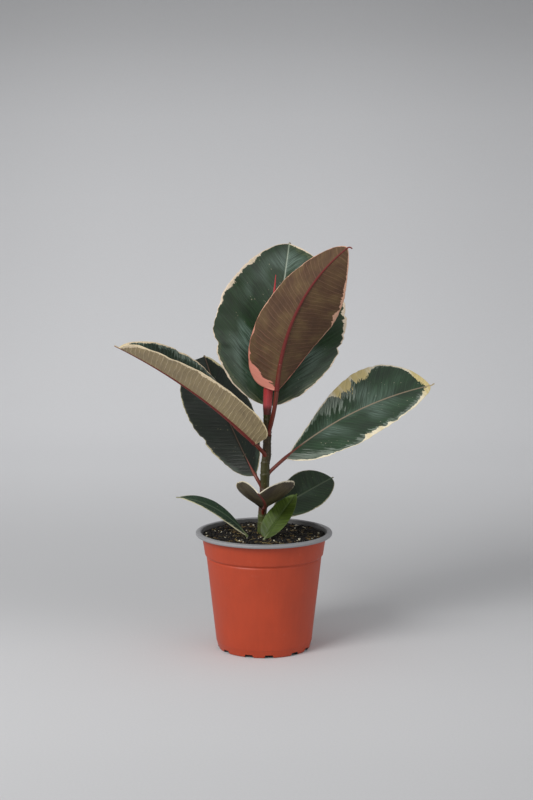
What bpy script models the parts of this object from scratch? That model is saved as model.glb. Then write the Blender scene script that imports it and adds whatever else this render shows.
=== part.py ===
"""Potted rubber plant: a young variegated Ficus elastica in a thermoformed nursery pot.

Metres, +Z up. The pot stands on the floor at z = 0 with its axis on Z, and -Y is the front.
The pot, the potting mix, the stem, the bud sheath and every leaf are separate closed solids.
A leaf is one grown piece: its petiole, midrib and blade are joined into one solid.
"""

from collections import namedtuple
from math import cos, log, pi, radians, sin

import bmesh
import bpy
from mathutils import Vector, noise

MM = 0.001
OBJECT_NAME = "potted_rubber_plant"

# Clearances between pieces that touch on the real plant.
GAP = 0.3 * MM

# Nursery pot, thermoformed in one sheet.
RIM_R = 60.0 * MM
RIM_TOP = 104.5 * MM
LIP_DEPTH = 3.4 * MM
LIP_WIDTH = 4.9 * MM
LIP_ROUND = 1.2 * MM
LIP_OVERHANG = 5.4 * MM
COLLAR_HEIGHT = 17.0 * MM
COLLAR_TAPER = 2.6 * MM
STEP_WIDTH = 1.5 * MM
STEP_HEIGHT = 2.6 * MM
BARREL_TAPER = 8.3 * MM
CHAMFER_HEIGHT = 6.4 * MM
CHAMFER_WIDTH = 2.6 * MM
FOOT_ROUND = 0.9 * MM
POT_WALL = 0.8 * MM
POT_SEGMENTS = 60

# Drain slots cut through the pot's bottom corner, in pairs.
SLOT_PAIRS = 6
SLOT_PAIR_SPREAD = 35.0
SLOT_FIRST_ANGLE = -144.0
SLOT_WIDTH = 7.4 * MM
SLOT_TOP_WIDTH = 4.6 * MM
SLOT_HEIGHT = 2.2 * MM
SLOT_DEPTH = 6.0 * MM

# Potting mix, filled to just under the lip.
FILL_DEPTH = 4.6 * MM
MOUND_HEIGHT = 1.6 * MM
MIX_ROUGHNESS = 1.1 * MM
MIX_RINGS = 7
MIX_SEGMENTS = 40

# Stem: points on its centre line, from the buried end up. z is the height above the potting
# mix, x and y are from the pot's axis, and swell is the share of STEM_R there.
STEM_R = 3.8 * MM
StemPoint = namedtuple("StemPoint", "z x y swell")
STEM = [
    StemPoint(-22.0, -3.0, 4.0, 0.89),
    StemPoint(1.0, -2.3, 4.0, 1.00),
    StemPoint(14.0, -1.8, 4.0, 1.00),
    StemPoint(28.0, -0.9, 4.0, 1.03),
    StemPoint(39.0, 0.2, 4.0, 1.10),
    StemPoint(47.0, 0.7, 4.0, 1.05),
    StemPoint(53.0, 0.8, 4.0, 1.13),
    StemPoint(62.0, 0.9, 4.0, 1.03),
    StemPoint(71.0, 2.2, 4.0, 1.08),
    StemPoint(82.0, 2.7, 4.0, 0.95),
    StemPoint(93.0, 3.0, 4.0, 0.97),
    StemPoint(107.0, 2.8, 4.2, 0.92),
]
ROD_RESOLUTION = 3

# Rolled sheath round the terminal bud.
BUD_LENGTH = 122.0 * MM
BUD_BASE_R = 4.0 * MM
BUD_TIP_R = 0.35 * MM
BUD_LEAN_X = 7.4 * MM
BUD_LEAN_Y = 0.6 * MM

# Leaf blades, in mm and degrees. base: where the blade starts, with its height above the
# potting mix. node: height on the stem where the petiole leaves it. azimuth turns from +X
# towards +Y and rise is up from level; sweep and droop are how far they change by the tip.
# roll turns the blade about its midrib. widest is where along the blade it is widest, and
# fullness is how blunt its ends are; the left half is widest further on by skew, and its ends
# are more pointed by the share pointed, and the right half the other way. fold is how far each
# half lifts from level at the base and at the tip, and cup adds to it towards the margin.
Leaf = namedtuple(
    "Leaf",
    "name base node azimuth sweep rise droop roll twist length width widest fullness"
    " skew pointed fold fold_tip cup petiole_r rows",
)
LEAVES = [
    Leaf("leaf_top_back", (4, 16, 113), 90, 62, 2, 77, 6, 33, 10, 150, 120, 0.49, 0.57,
         -0.03, 0.06, 6, 8, 11, 1.9, 16),
    Leaf("leaf_top_front", (11, -6, 129.5), 87, -50, 22, 83, 48, -33, -68, 155, 71, 0.39, 0.66,
         0.11, 0.10, 28, 22, 11, 1.9, 16),
    Leaf("leaf_mid_left", (-8, -6, 83), 70, 199, -2, 45, 18, 4, -24, 154, 71, 0.38, 0.48,
         -0.03, -0.28, 22, 45, 7, 1.7, 16),
    Leaf("leaf_low_left", (-8, 7, 53), 39, 126, -15, 44, -1, -59, 10, 139, 66, 0.54, 0.52,
         0.12, -0.45, 16, 24, 7, 1.6, 16),
    Leaf("leaf_mid_right", (19, 10, 68), 52, 25, -10, 35, 26, 32, 0, 156, 78, 0.58, 0.62,
         0.12, 0.05, 4, 9, 4, 1.6, 16),
    Leaf("leaf_low_right", (6, 10, 18), 8, 47, -2, 16, 3, 34, -4, 85, 42, 0.57, 0.54,
         0.10, 0.0, 4, 5, 6, 1.4, 12),
    Leaf("leaf_low_front", (0, -6, 26), 14, -85, -17, 16, -7, -2, 0, 85, 62, 0.38, 0.49,
         0.10, 0.0, 21, 37, 18, 1.5, 12),
    Leaf("leaf_basal_left", (-15, -14, 3), -8, 172, -3, 53, 52, -21, 7, 73, 19, 0.53, 0.80,
         -0.12, 0.05, 0, 0, 4, 1.2, 12),
    Leaf("leaf_basal_front", (1, -24, 3), -10, 28, 0, 53, 8, 34, 0, 48, 22, 0.43, 0.58,
         -0.04, -0.05, 8, 8, 8, 1.1, 12),
]
BLADE_THICKNESS = 0.8 * MM
BLADE_HALF_COLUMNS = 4
ROW_CROWDING = 0.5
RIB_SUBSTEPS = 6
PETIOLE_STEPS = 5
DRIP_TIP_SHARE = 0.03
DRIP_TIP_HALF_WIDTH = 0.6 * MM
BLADE_FOOT_HALF_WIDTH = 1.0 * MM
RIB_TIP_RADIUS_SHARE = 0.25
RIB_DROP_SHARE = 0.55
# Leaves whose petiole comes up through the potting mix and not off the stem above it.
BASAL_PETIOLE_DEPTH = 9.0 * MM
BASAL = ("leaf_basal_left", "leaf_basal_front")
SOCKET_RIB_STATIONS = 3

LEAF_GREEN = "2E4A3C"
LEAF_YOUNG_GREEN = "4C6B34"


# ---------------------------------------------------------------- scene and materials

def clear_scene():
    for obj in list(bpy.data.objects):
        bpy.data.objects.remove(obj, do_unlink=True)


def new_collection(name, hidden=False):
    made = bpy.data.collections.new(name)
    made.hide_render = hidden
    bpy.context.scene.collection.children.link(made)
    return made


def linear(hex_colour):
    """sRGB hex digits as linear red, green, blue and alpha."""
    channels = [int(hex_colour[i : i + 2], 16) / 255 for i in (0, 2, 4)]
    return [c / 12.92 if c <= 0.04045 else ((c + 0.055) / 1.055) ** 2.4 for c in channels] + [1.0]


def material(name, hex_colour, roughness, metallic=0.0):
    made = bpy.data.materials.new(name)
    made.use_nodes = True
    shader = made.node_tree.nodes["Principled BSDF"]
    shader.inputs["Base Color"].default_value = linear(hex_colour)
    shader.inputs["Roughness"].default_value = roughness
    shader.inputs["Metallic"].default_value = metallic
    return made


def add_object(name, mesh, collection):
    obj = bpy.data.objects.new(name, mesh)
    collection.objects.link(obj)
    return obj


def finish_piece(obj, surface, angle=40.0):
    obj.data.materials.clear()
    obj.data.materials.append(surface)
    for polygon in obj.data.polygons:
        polygon.use_smooth = True
    obj.data.set_sharp_from_angle(angle=radians(angle))


# ---------------------------------------------------------------- shape tools

def lathe(name, profile, segments, collection):
    """A profile of (radius, height) turned about Z. It runs down the outer side to the axis."""
    mesh = bpy.data.meshes.new(name)
    mesh.from_pydata([(r, 0.0, z) for r, z in profile],
                     [(i, i + 1) for i in range(len(profile) - 1)], [])
    obj = add_object(name, mesh, collection)
    turn = obj.modifiers.new("turn", "SCREW")
    turn.axis = "Z"
    turn.steps = turn.render_steps = segments
    turn.use_merge_vertices = True
    turn.merge_threshold = 0.00001
    turn.use_normal_calculate = True
    return apply_modifiers(obj)


def apply_modifiers(obj):
    """Swaps the object's mesh for the one that its modifiers make."""
    graph = bpy.context.evaluated_depsgraph_get()
    mesh = bpy.data.meshes.new_from_object(obj.evaluated_get(graph))
    obj.modifiers.clear()
    old, obj.data = obj.data, mesh
    bpy.data.meshes.remove(old)
    return obj


def rod(name, points, radii, collection, resolution=2):
    """A round rod along the points with a radius at each, as a closed mesh."""
    curve = bpy.data.curves.new(name, "CURVE")
    curve.dimensions = "3D"
    curve.bevel_depth = 1.0
    curve.bevel_resolution = resolution
    curve.use_fill_caps = True
    curve.twist_mode = "MINIMUM"
    spline = curve.splines.new("POLY")
    spline.points.add(len(points) - 1)
    for place, point, radius in zip(spline.points, points, radii):
        place.co = (*point, 1.0)
        place.radius = radius
    source = add_object(name + "_curve", curve, collection)
    graph = bpy.context.evaluated_depsgraph_get()
    mesh = bpy.data.meshes.new_from_object(source.evaluated_get(graph))
    bpy.data.objects.remove(source)
    made = bmesh.new()
    made.from_mesh(mesh)
    bmesh.ops.remove_doubles(made, verts=made.verts, dist=0.00001)
    bmesh.ops.recalc_face_normals(made, faces=made.faces)
    made.to_mesh(mesh)
    made.free()
    return add_object(name, mesh, collection)


def as_cutter(obj):
    obj.hide_render = True
    obj.display_type = "WIRE"
    return obj


def boolean(obj, operation, other):
    cut = obj.modifiers.new(operation.lower(), "BOOLEAN")
    cut.solver = "EXACT"
    cut.operation = operation
    cut.object = other
    return apply_modifiers(obj)


# ---------------------------------------------------------------- pot and potting mix

COLLAR_TOP = RIM_TOP - LIP_DEPTH
COLLAR_BOTTOM = COLLAR_TOP - COLLAR_HEIGHT
STEP_BOTTOM = COLLAR_BOTTOM - STEP_HEIGHT
COLLAR_TOP_R = RIM_R - LIP_OVERHANG
COLLAR_BOTTOM_R = COLLAR_TOP_R - COLLAR_TAPER
BARREL_TOP_R = COLLAR_BOTTOM_R - STEP_WIDTH
BARREL_BOTTOM_R = BARREL_TOP_R - BARREL_TAPER
FOOT_R = BARREL_BOTTOM_R - CHAMFER_WIDTH
FILL_TOP = RIM_TOP - FILL_DEPTH


def pot_outer():
    """The outer side from under the lip down to the foot, as (radius, height)."""
    return [
        (COLLAR_TOP_R, COLLAR_TOP),
        (COLLAR_BOTTOM_R, COLLAR_BOTTOM),
        (BARREL_TOP_R, STEP_BOTTOM),
        (BARREL_BOTTOM_R, CHAMFER_HEIGHT),
        (FOOT_R + FOOT_ROUND, FOOT_ROUND),
        (FOOT_R, 0.0),
    ]


def pot_inner(inset):
    """The outer side moved in by an inset, with its floor raised as much, foot first."""
    side = [(r - inset, z) for r, z in pot_outer()]
    side[-1] = (FOOT_R - inset, inset)
    side[-2] = (side[-2][0], inset + FOOT_ROUND)
    return side[::-1]


def build_pot(collection, cutters):
    lip_inner = RIM_R - LIP_WIDTH
    inner = pot_inner(POT_WALL)
    lip = [
        (lip_inner, RIM_TOP - LIP_ROUND),
        (lip_inner + 0.5 * LIP_ROUND, RIM_TOP - 0.2 * LIP_ROUND),
        (lip_inner + 1.4 * LIP_ROUND, RIM_TOP),
        (RIM_R - 1.4 * LIP_ROUND, RIM_TOP - 0.25 * LIP_ROUND),
        (RIM_R - 0.4 * LIP_ROUND, RIM_TOP - 0.6 * LIP_ROUND),
        (RIM_R, RIM_TOP - 0.4 * LIP_DEPTH),
        (RIM_R - 0.1 * LIP_ROUND, RIM_TOP - 0.8 * LIP_DEPTH),
        (RIM_R - 0.7 * LIP_ROUND, COLLAR_TOP),
    ]
    profile = [(0.0, POT_WALL)] + inner + lip + pot_outer() + [(0.0, 0.0)]
    pot = lathe("pot", profile, POT_SEGMENTS, collection)
    boolean(pot, "DIFFERENCE", slot_cutter(cutters))
    finish_piece(pot, material("pot_plastic", "A84228", 0.5))
    return pot


def slot_cutter(collection):
    """Wedges across the bottom corner, wider at the floor, for all the drain slots."""
    mesh = bpy.data.meshes.new("drain_slots")
    made = bmesh.new()
    inner, outer = FOOT_R - SLOT_DEPTH, RIM_R
    for pair in range(SLOT_PAIRS):
        for place in (0.0, SLOT_PAIR_SPREAD):
            angle = radians(SLOT_FIRST_ANGLE + pair * 360.0 / SLOT_PAIRS + place)
            out = Vector((cos(angle), sin(angle), 0.0))
            side = Vector((-sin(angle), cos(angle), 0.0))
            ends = []
            for reach in (inner, outer):
                ends.append([
                    made.verts.new(out * reach + side * half + Vector((0.0, 0.0, z)))
                    for half, z in (
                        (-SLOT_WIDTH / 2, -SLOT_HEIGHT / 2),
                        (SLOT_WIDTH / 2, -SLOT_HEIGHT / 2),
                        (SLOT_TOP_WIDTH / 2, SLOT_HEIGHT),
                        (-SLOT_TOP_WIDTH / 2, SLOT_HEIGHT),
                    )
                ])
            made.faces.new(ends[0])
            made.faces.new(ends[1][::-1])
            for i in range(4):
                j = (i + 1) % 4
                made.faces.new([ends[0][i], ends[1][i], ends[1][j], ends[0][j]])
    bmesh.ops.recalc_face_normals(made, faces=made.faces)
    made.to_mesh(mesh)
    made.free()
    return as_cutter(add_object("drain_slots", mesh, collection))


def build_mix(collection, cutters):
    """The plug of potting mix: it fills the pot, with a rough, slightly mounded top."""
    side = [(r, z) for r, z in pot_inner(POT_WALL + GAP) if z < FILL_TOP]
    below, above = side[-1], pot_inner(POT_WALL + GAP)[len(side)]
    share = (FILL_TOP - below[1]) / (above[1] - below[1])
    edge = below[0] + share * (above[0] - below[0])
    top = [(edge * i / MIX_RINGS, FILL_TOP) for i in range(MIX_RINGS + 1)]
    profile = top + side[::-1] + [(0.0, POT_WALL + GAP)]
    mix = lathe("potting_mix", profile, MIX_SEGMENTS, collection)
    for vertex in mix.data.vertices:
        reach = Vector(vertex.co.xy).length / edge
        if vertex.co.z < FILL_TOP - 0.1 * MM:
            continue
        lumps = noise.noise(vertex.co * 90.0) + 0.5 * noise.noise(vertex.co * 260.0)
        vertex.co.z += MOUND_HEIGHT * (1.0 - reach * reach) + MIX_ROUGHNESS * lumps * (reach < 0.99)
    for cutter in cutters:
        boolean(mix, "DIFFERENCE", cutter)
    finish_piece(mix, material("potting_mix", "2B211B", 0.95))
    return mix


# ---------------------------------------------------------------- stem and bud

def planted(x, y, z):
    """A point of the plant, in mm with its height above the potting mix, as a place in metres."""
    return Vector((x, y, z)) * MM + Vector((0.0, 0.0, FILL_TOP))


def stem_at(height):
    """The place on the stem's centre line at a height above the potting mix, in mm."""
    for low, high in zip(STEM, STEM[1:]):
        if low.z <= height <= high.z:
            share = (height - low.z) / (high.z - low.z)
            return planted(low.x + share * (high.x - low.x),
                           low.y + share * (high.y - low.y), height)
    raise ValueError(f"no stem {height} mm above the mix")


def stem_rod(name, collection, clearance=0.0):
    points = [planted(p.x, p.y, p.z) for p in STEM]
    points[0].z -= clearance
    points[-1].z += clearance
    radii = [p.swell * STEM_R + clearance for p in STEM]
    return rod(name, points, radii, collection, ROD_RESOLUTION)


def bud_rod(name, collection, clearance=0.0):
    """The pointed sheath, swollen just above its foot, standing on the stem's end."""
    foot = planted(STEM[-1].x, STEM[-1].y, STEM[-1].z) + Vector((0.0, 0.0, GAP))
    shares = [0.0, 0.06, 0.16, 0.35, 0.6, 0.85, 1.0]
    swell = [0.86, 1.0, 1.0, 0.84, 0.56, 0.24, 0.0]
    points, radii = [], []
    for share, size in zip(shares, swell):
        lean = share ** 1.3
        points.append(foot + Vector((BUD_LEAN_X * lean, BUD_LEAN_Y * lean, BUD_LENGTH * share)))
        radii.append(BUD_TIP_R + (BUD_BASE_R - BUD_TIP_R) * size + clearance)
    return rod(name, points, radii, collection, ROD_RESOLUTION)


# ---------------------------------------------------------------- leaves

def half_width(leaf, s, hand):
    """Half the blade's width at a share s of its length."""
    bend = log(0.5) / log(leaf.widest + hand * leaf.skew)
    along = min(max(s / (1.0 - DRIP_TIP_SHARE), 0.0), 1.0)
    oval = max(sin(pi * along ** bend), 0.0) ** (leaf.fullness * (1 + hand * leaf.pointed))
    least = BLADE_FOOT_HALF_WIDTH if s < 0.5 else DRIP_TIP_HALF_WIDTH
    return max(leaf.width / 2 * MM * oval, least)


def direction(leaf, s):
    """The way the midrib runs at a share of its length, with its level side direction."""
    azimuth = radians(leaf.azimuth + leaf.sweep * s)
    rise = radians(leaf.rise - leaf.droop * s)
    tangent = Vector((cos(rise) * cos(azimuth), cos(rise) * sin(azimuth), sin(rise)))
    return tangent, Vector((-sin(azimuth), cos(azimuth), 0.0))


def midrib(leaf):
    """Stations along the midrib: share, point, tangent, side and up directions."""
    stations = []
    point, before = planted(*leaf.base), 0.0
    for i in range(leaf.rows + 1):
        u = i / leaf.rows
        s = u - ROW_CROWDING * sin(2 * pi * u) / (2 * pi)
        for k in range(RIB_SUBSTEPS):
            middle = before + (s - before) * (k + 0.5) / RIB_SUBSTEPS
            point += direction(leaf, middle)[0] * (leaf.length * MM * (s - before) / RIB_SUBSTEPS)
        before = s
        tangent, level = direction(leaf, s)
        normal = tangent.cross(level)
        roll = radians(leaf.roll + leaf.twist * s)
        side = level * cos(roll) + normal * sin(roll)
        up = normal * cos(roll) - level * sin(roll)
        stations.append((s, point.copy(), tangent, side, up))
    return stations


def blade_row(leaf, s, point, side, up):
    """One row of points across the blade, from its right margin to its left."""
    fold = leaf.fold + (leaf.fold_tip - leaf.fold) * s
    rows = {1: [], -1: []}
    for hand in (1, -1):
        half = half_width(leaf, s, hand)
        across, lift = 0.0, 0.0
        for j in range(1, BLADE_HALF_COLUMNS + 1):
            angle = radians(fold + leaf.cup * (j - 0.5) / BLADE_HALF_COLUMNS)
            across += half / BLADE_HALF_COLUMNS * cos(angle)
            lift += half / BLADE_HALF_COLUMNS * sin(angle)
            rows[hand].append(point + side * (hand * across) + up * lift)
    return rows[-1][::-1] + [point.copy()] + rows[1]


def build_blade(leaf, stations, collection):
    made = bmesh.new()
    grid = [
        [made.verts.new(p) for p in blade_row(leaf, s, point, side, up)]
        for s, point, _, side, up in stations
    ]
    for low, high in zip(grid, grid[1:]):
        for j in range(len(low) - 1):
            made.faces.new((low[j + 1], low[j], high[j], high[j + 1]))
    mesh = bpy.data.meshes.new(leaf.name)
    made.to_mesh(mesh)
    made.free()
    blade = add_object(leaf.name, mesh, collection)
    thicken = blade.modifiers.new("thicken", "SOLIDIFY")
    thicken.thickness = BLADE_THICKNESS
    thicken.offset = 0.0
    thicken.use_even_offset = True
    return apply_modifiers(blade)


def petiole_path(leaf, stations):
    """From the stem to the blade's foot, then along under the midrib: points and radii."""
    s, foot, tangent, _, _ = stations[0]
    radius = leaf.petiole_r * MM
    if leaf.name in BASAL:
        start = foot - tangent * BASAL_PETIOLE_DEPTH
    else:
        start = stem_at(leaf.node)
    reach = (foot - start).length
    bend = foot - tangent * (reach * 0.45)
    points, radii = [], []
    for i in range(PETIOLE_STEPS):
        t = i / PETIOLE_STEPS
        points.append(start * (1 - t) ** 2 + bend * (2 * t * (1 - t)) + foot * t ** 2)
        radii.append(radius)
    for s, point, _, _, up in stations[:-1]:
        size = radius * (1 - (1 - RIB_TIP_RADIUS_SHARE) * s)
        points.append(point - up * (size * RIB_DROP_SHARE * min(1.0, s * 8)))
        radii.append(size)
    return points, radii


def build_leaf(leaf, collection, cutters, clear_of):
    stations = midrib(leaf)
    blade = build_blade(leaf, stations, collection)
    points, radii = petiole_path(leaf, stations)
    rib = rod(leaf.name + "_rib", points, radii, cutters)
    boolean(blade, "UNION", rib)
    bpy.data.objects.remove(rib)
    if leaf.name not in BASAL:
        for piece in clear_of:
            boolean(blade, "DIFFERENCE", piece)
    young = leaf.name == "leaf_basal_front"
    colour = LEAF_YOUNG_GREEN if young else LEAF_GREEN
    finish_piece(blade, material(leaf.name, colour, 0.4), 60.0)
    return blade


def petiole_socket(leaf, cutters):
    """The room that a basal leaf's petiole takes in the potting mix."""
    points, radii = petiole_path(leaf, midrib(leaf))
    inside = PETIOLE_STEPS + SOCKET_RIB_STATIONS
    points, radii = points[:inside], [r + GAP for r in radii[:inside]]
    points[0] = points[0] - (points[1] - points[0]).normalized() * GAP
    return as_cutter(rod(leaf.name + "_socket", points, radii, cutters))


# ---------------------------------------------------------------- build

def main():
    clear_scene()
    pieces = new_collection(OBJECT_NAME)
    cutters = new_collection("cutters", hidden=True)
    build_pot(pieces, cutters)
    stem_room = as_cutter(stem_rod("stem_room", cutters, GAP))
    bud_room = as_cutter(bud_rod("bud_room", cutters, GAP))
    finish_piece(stem_rod("stem", pieces), material("stem_bark", "4A3A22", 0.55))
    finish_piece(bud_rod("bud_sheath", pieces), material("bud_sheath", "B94046", 0.45))
    sockets = [petiole_socket(leaf, cutters) for leaf in LEAVES if leaf.name in BASAL]
    build_mix(pieces, [stem_room] + sockets)
    for leaf in LEAVES:
        build_leaf(leaf, pieces, cutters, (stem_room, bud_room))


main()
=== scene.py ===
"""Potted rubber plant: the finished look of a young variegated Ficus elastica in its nursery pot.

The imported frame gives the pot's and the plant's sizes. Each operator builds one piece, or one
group of like pieces, on top of it, in metres, with the pot's axis on Z and -Y to the front.
"""

from collections import namedtuple
from math import cos, exp, log, pi, radians, sin, sqrt, tau
from random import Random

import bmesh
import bpy
from bpy.props import FloatProperty, FloatVectorProperty, IntProperty, PointerProperty
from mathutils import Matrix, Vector, noise


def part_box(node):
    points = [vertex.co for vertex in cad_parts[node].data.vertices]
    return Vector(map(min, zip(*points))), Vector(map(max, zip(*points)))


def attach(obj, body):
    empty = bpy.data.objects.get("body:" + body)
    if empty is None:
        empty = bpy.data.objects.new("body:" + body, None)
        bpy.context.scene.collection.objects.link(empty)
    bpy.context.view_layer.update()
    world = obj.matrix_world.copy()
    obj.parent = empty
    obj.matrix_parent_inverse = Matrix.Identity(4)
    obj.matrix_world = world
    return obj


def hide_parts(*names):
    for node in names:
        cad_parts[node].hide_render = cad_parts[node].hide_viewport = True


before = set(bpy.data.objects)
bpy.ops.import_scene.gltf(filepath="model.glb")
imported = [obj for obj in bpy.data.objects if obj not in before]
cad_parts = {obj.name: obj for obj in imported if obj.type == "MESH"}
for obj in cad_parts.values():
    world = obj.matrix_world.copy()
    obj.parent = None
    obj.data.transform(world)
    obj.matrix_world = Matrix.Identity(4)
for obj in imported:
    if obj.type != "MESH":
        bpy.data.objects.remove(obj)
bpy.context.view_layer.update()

bl_info = {
    "name": "Potted rubber plant",
    "version": (1, 0, 0),
    "blender": (4, 5, 0),
    "location": "3D View > Sidebar > Rubber plant",
    "description": "Builds a young variegated rubber plant in its nursery pot on the packed frame",
    "category": "Object",
}

MM = 0.001
BODY = "root"
POT_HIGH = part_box("pot")[1]
RIM_R = POT_HIGH.x
RIM_TOP = POT_HIGH.z


# ---------------------------------------------------------------- settings

def linear(hex_colour):
    """sRGB hex digits as linear red, green and blue."""
    channels = [int(hex_colour[i : i + 2], 16) / 255 for i in (0, 2, 4)]
    return tuple(c / 12.92 if c <= 0.04045 else ((c + 0.055) / 1.055) ** 2.4 for c in channels)


def length_mm(name, description, value):
    return FloatProperty(name=name, description=description, default=value * MM,
                         min=0.0, unit="LENGTH", precision=4)


def colour_of(name, description, hex_colour):
    return FloatVectorProperty(name=name, description=description, default=linear(hex_colour),
                               subtype="COLOR", min=0.0, max=1.0, size=3)


class PotSettings(bpy.types.PropertyGroup):
    lip_depth: length_mm("Lip depth", "Height of the rolled lip", 3.4)
    lip_width: length_mm("Lip width", "How wide the rolled lip is, seen from above", 4.9)
    lip_overhang: length_mm("Lip overhang", "How far the lip stands out from the collar", 5.4)
    lip_round: length_mm("Lip rounding", "Rounding of the lip's edges", 1.2)
    collar_height: length_mm("Collar height", "Height of the band under the lip", 17.0)
    collar_taper: length_mm("Collar taper", "How much the collar narrows downwards", 2.6)
    step_width: length_mm("Step width", "How far the barrel is set in under the collar", 1.5)
    step_height: length_mm("Step height", "Height of the sloping step under the collar", 2.6)
    barrel_taper: length_mm("Barrel taper", "How much the barrel narrows downwards", 8.3)
    chamfer_height: length_mm("Chamfer height", "Height of the slope at the foot", 6.4)
    chamfer_width: length_mm("Chamfer width", "Width of the slope at the foot", 2.6)
    foot_round: length_mm("Foot rounding", "Rounding of the foot's edge", 0.9)
    wall: length_mm("Wall", "Thickness of the sheet", 0.8)
    slot_pairs: IntProperty(name="Slot pairs", description="Pairs of drain slots", default=6)
    slot_width: length_mm("Slot width", "Width of a drain slot at the floor", 9.4)
    slot_top_width: length_mm("Slot top width", "Width of a drain slot at its top", 6.4)
    slot_height: length_mm("Slot height", "Height of a drain slot", 2.8)
    slot_depth: length_mm("Slot depth", "How far a drain slot runs under the pot", 6.0)
    outer_colour: colour_of("Outer colour", "Terracotta skin of the sheet", "B03E1C")
    inner_colour: colour_of("Inner colour", "Grey layer of the sheet", "8E8F92")


class MixSettings(bpy.types.PropertyGroup):
    fill_depth: length_mm("Fill depth", "How far the mix lies under the rim", 4.6)
    clearance: length_mm("Clearance", "Room between the mix and the pot's wall", 0.3)
    mound: length_mm("Mound", "How much higher the middle lies", 1.6)
    crumb: length_mm("Crumb size", "Mean width of a crumb of peat", 2.1)
    crumbs: IntProperty(name="Crumbs", description="Loose crumbs of peat", default=1500)
    chips: IntProperty(name="Bark chips", description="Chips of bark", default=260)
    perlite: IntProperty(name="Perlite", description="Grains of perlite", default=120)
    fibres: IntProperty(name="Fibres", description="Coir and root fibres", default=110)
    peat_colour: colour_of("Peat colour", "Moist peat", "1E1812")
    bark_colour: colour_of("Bark colour", "Bark chips", "7E6638")
    perlite_colour: colour_of("Perlite colour", "Perlite grains", "D8D2BE")
    fibre_colour: colour_of("Fibre colour", "Coir and root fibres", "B8A468")


class StemSettings(bpy.types.PropertyGroup):
    radius: length_mm("Stem radius", "Usual radius of the stem", 3.8)
    ring: length_mm("Ring height", "How far a leaf-scar ring stands out", 0.45)
    green_colour: colour_of("Green bark", "Bark near the ground", "485222")
    red_colour: colour_of("Red bark", "Bark of the lower stem", "4A251A")
    brown_colour: colour_of("Brown bark", "Bark of the upper stem", "33270F")


class BudSettings(bpy.types.PropertyGroup):
    length: length_mm("Sheath length", "Length of the rolled sheath", 122.0)
    base_radius: length_mm("Base radius", "Radius where the sheath is thickest", 4.0)
    tip_radius: length_mm("Tip radius", "Radius at the tip", 0.35)
    lean_x: length_mm("Lean", "How far the tip leans to the right", 7.4)
    colour: colour_of("Sheath colour", "The sheath's red", "B0373A")
    base_colour: colour_of("Base colour", "The sheath's paler foot", "B0565A")


class LeafSettings(bpy.types.PropertyGroup):
    thickness: length_mm("Blade thickness", "Thickness of a blade", 0.7)
    vein_spacing: length_mm("Vein spacing", "Distance between side veins", 4.2)
    quilting: length_mm("Quilting", "How far the blade bulges between side veins", 0.22)
    groove: length_mm("Midrib groove", "Depth of the groove over the midrib", 0.4)
    patch_colour: colour_of("Patch yellow", "Colour of a cream patch's wide parts", "DBC784")
    # Grey-blue of the painted sheen on the upper side, which stands in for the room reflected in
    # the wax and for its bloom; the side veins are also lightened towards it.
    sheen_and_vein_grey: colour_of("Wax grey", "Wax bloom on the upper side", "70867A")
    young_colour: colour_of("Young petiole", "Petioles that come up through the mix", "56653A")
    rib_colour: colour_of("Rib red", "Midrib on the under side, and the petiole", "6C221E")


class StageSettings(bpy.types.PropertyGroup):
    paper_colour: colour_of("Paper colour", "Tint of the seamless paper under the pot", "F8F9FC")
    key_power: FloatProperty(name="Key power", description="Soft lamp at the left, in watts",
                             default=29.5, min=0.0)
    fill_power: FloatProperty(name="Fill power", description="Weak lamp at the right, in watts",
                              default=3.0, min=0.0)
    ambient: FloatProperty(name="Ambient", description="Light from the whole room",
                           default=0.53, min=0.0)
    lens_mm: FloatProperty(name="Lens", description="Focal length", default=85.0,
                           unit="CAMERA", min=10.0)


GROUPS = {
    "plant_pot": PotSettings,
    "plant_mix": MixSettings,
    "plant_stem": StemSettings,
    "plant_bud": BudSettings,
    "plant_leaf": LeafSettings,
    "plant_stage": StageSettings,
}


# ---------------------------------------------------------------- the plant's own measures

# Points on the stem's centre line, in mm: z is the height above the potting mix, x and y are
# from the pot's axis, and swell is the share of the stem's usual radius there.
StemPoint = namedtuple("StemPoint", "z x y swell")
STEM = [
    StemPoint(-22.0, -3.0, 4.0, 0.89),
    StemPoint(1.0, -2.3, 4.0, 1.00),
    StemPoint(14.0, -1.8, 4.0, 1.00),
    StemPoint(28.0, -0.9, 4.0, 1.03),
    StemPoint(39.0, 0.2, 4.0, 1.10),
    StemPoint(47.0, 0.7, 4.0, 1.05),
    StemPoint(53.0, 0.8, 4.0, 1.13),
    StemPoint(62.0, 0.9, 4.0, 1.03),
    StemPoint(71.0, 2.2, 4.0, 1.08),
    StemPoint(82.0, 2.7, 4.0, 0.95),
    StemPoint(93.0, 3.0, 4.0, 0.97),
    StemPoint(107.0, 2.8, 4.2, 0.92),
]

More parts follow.
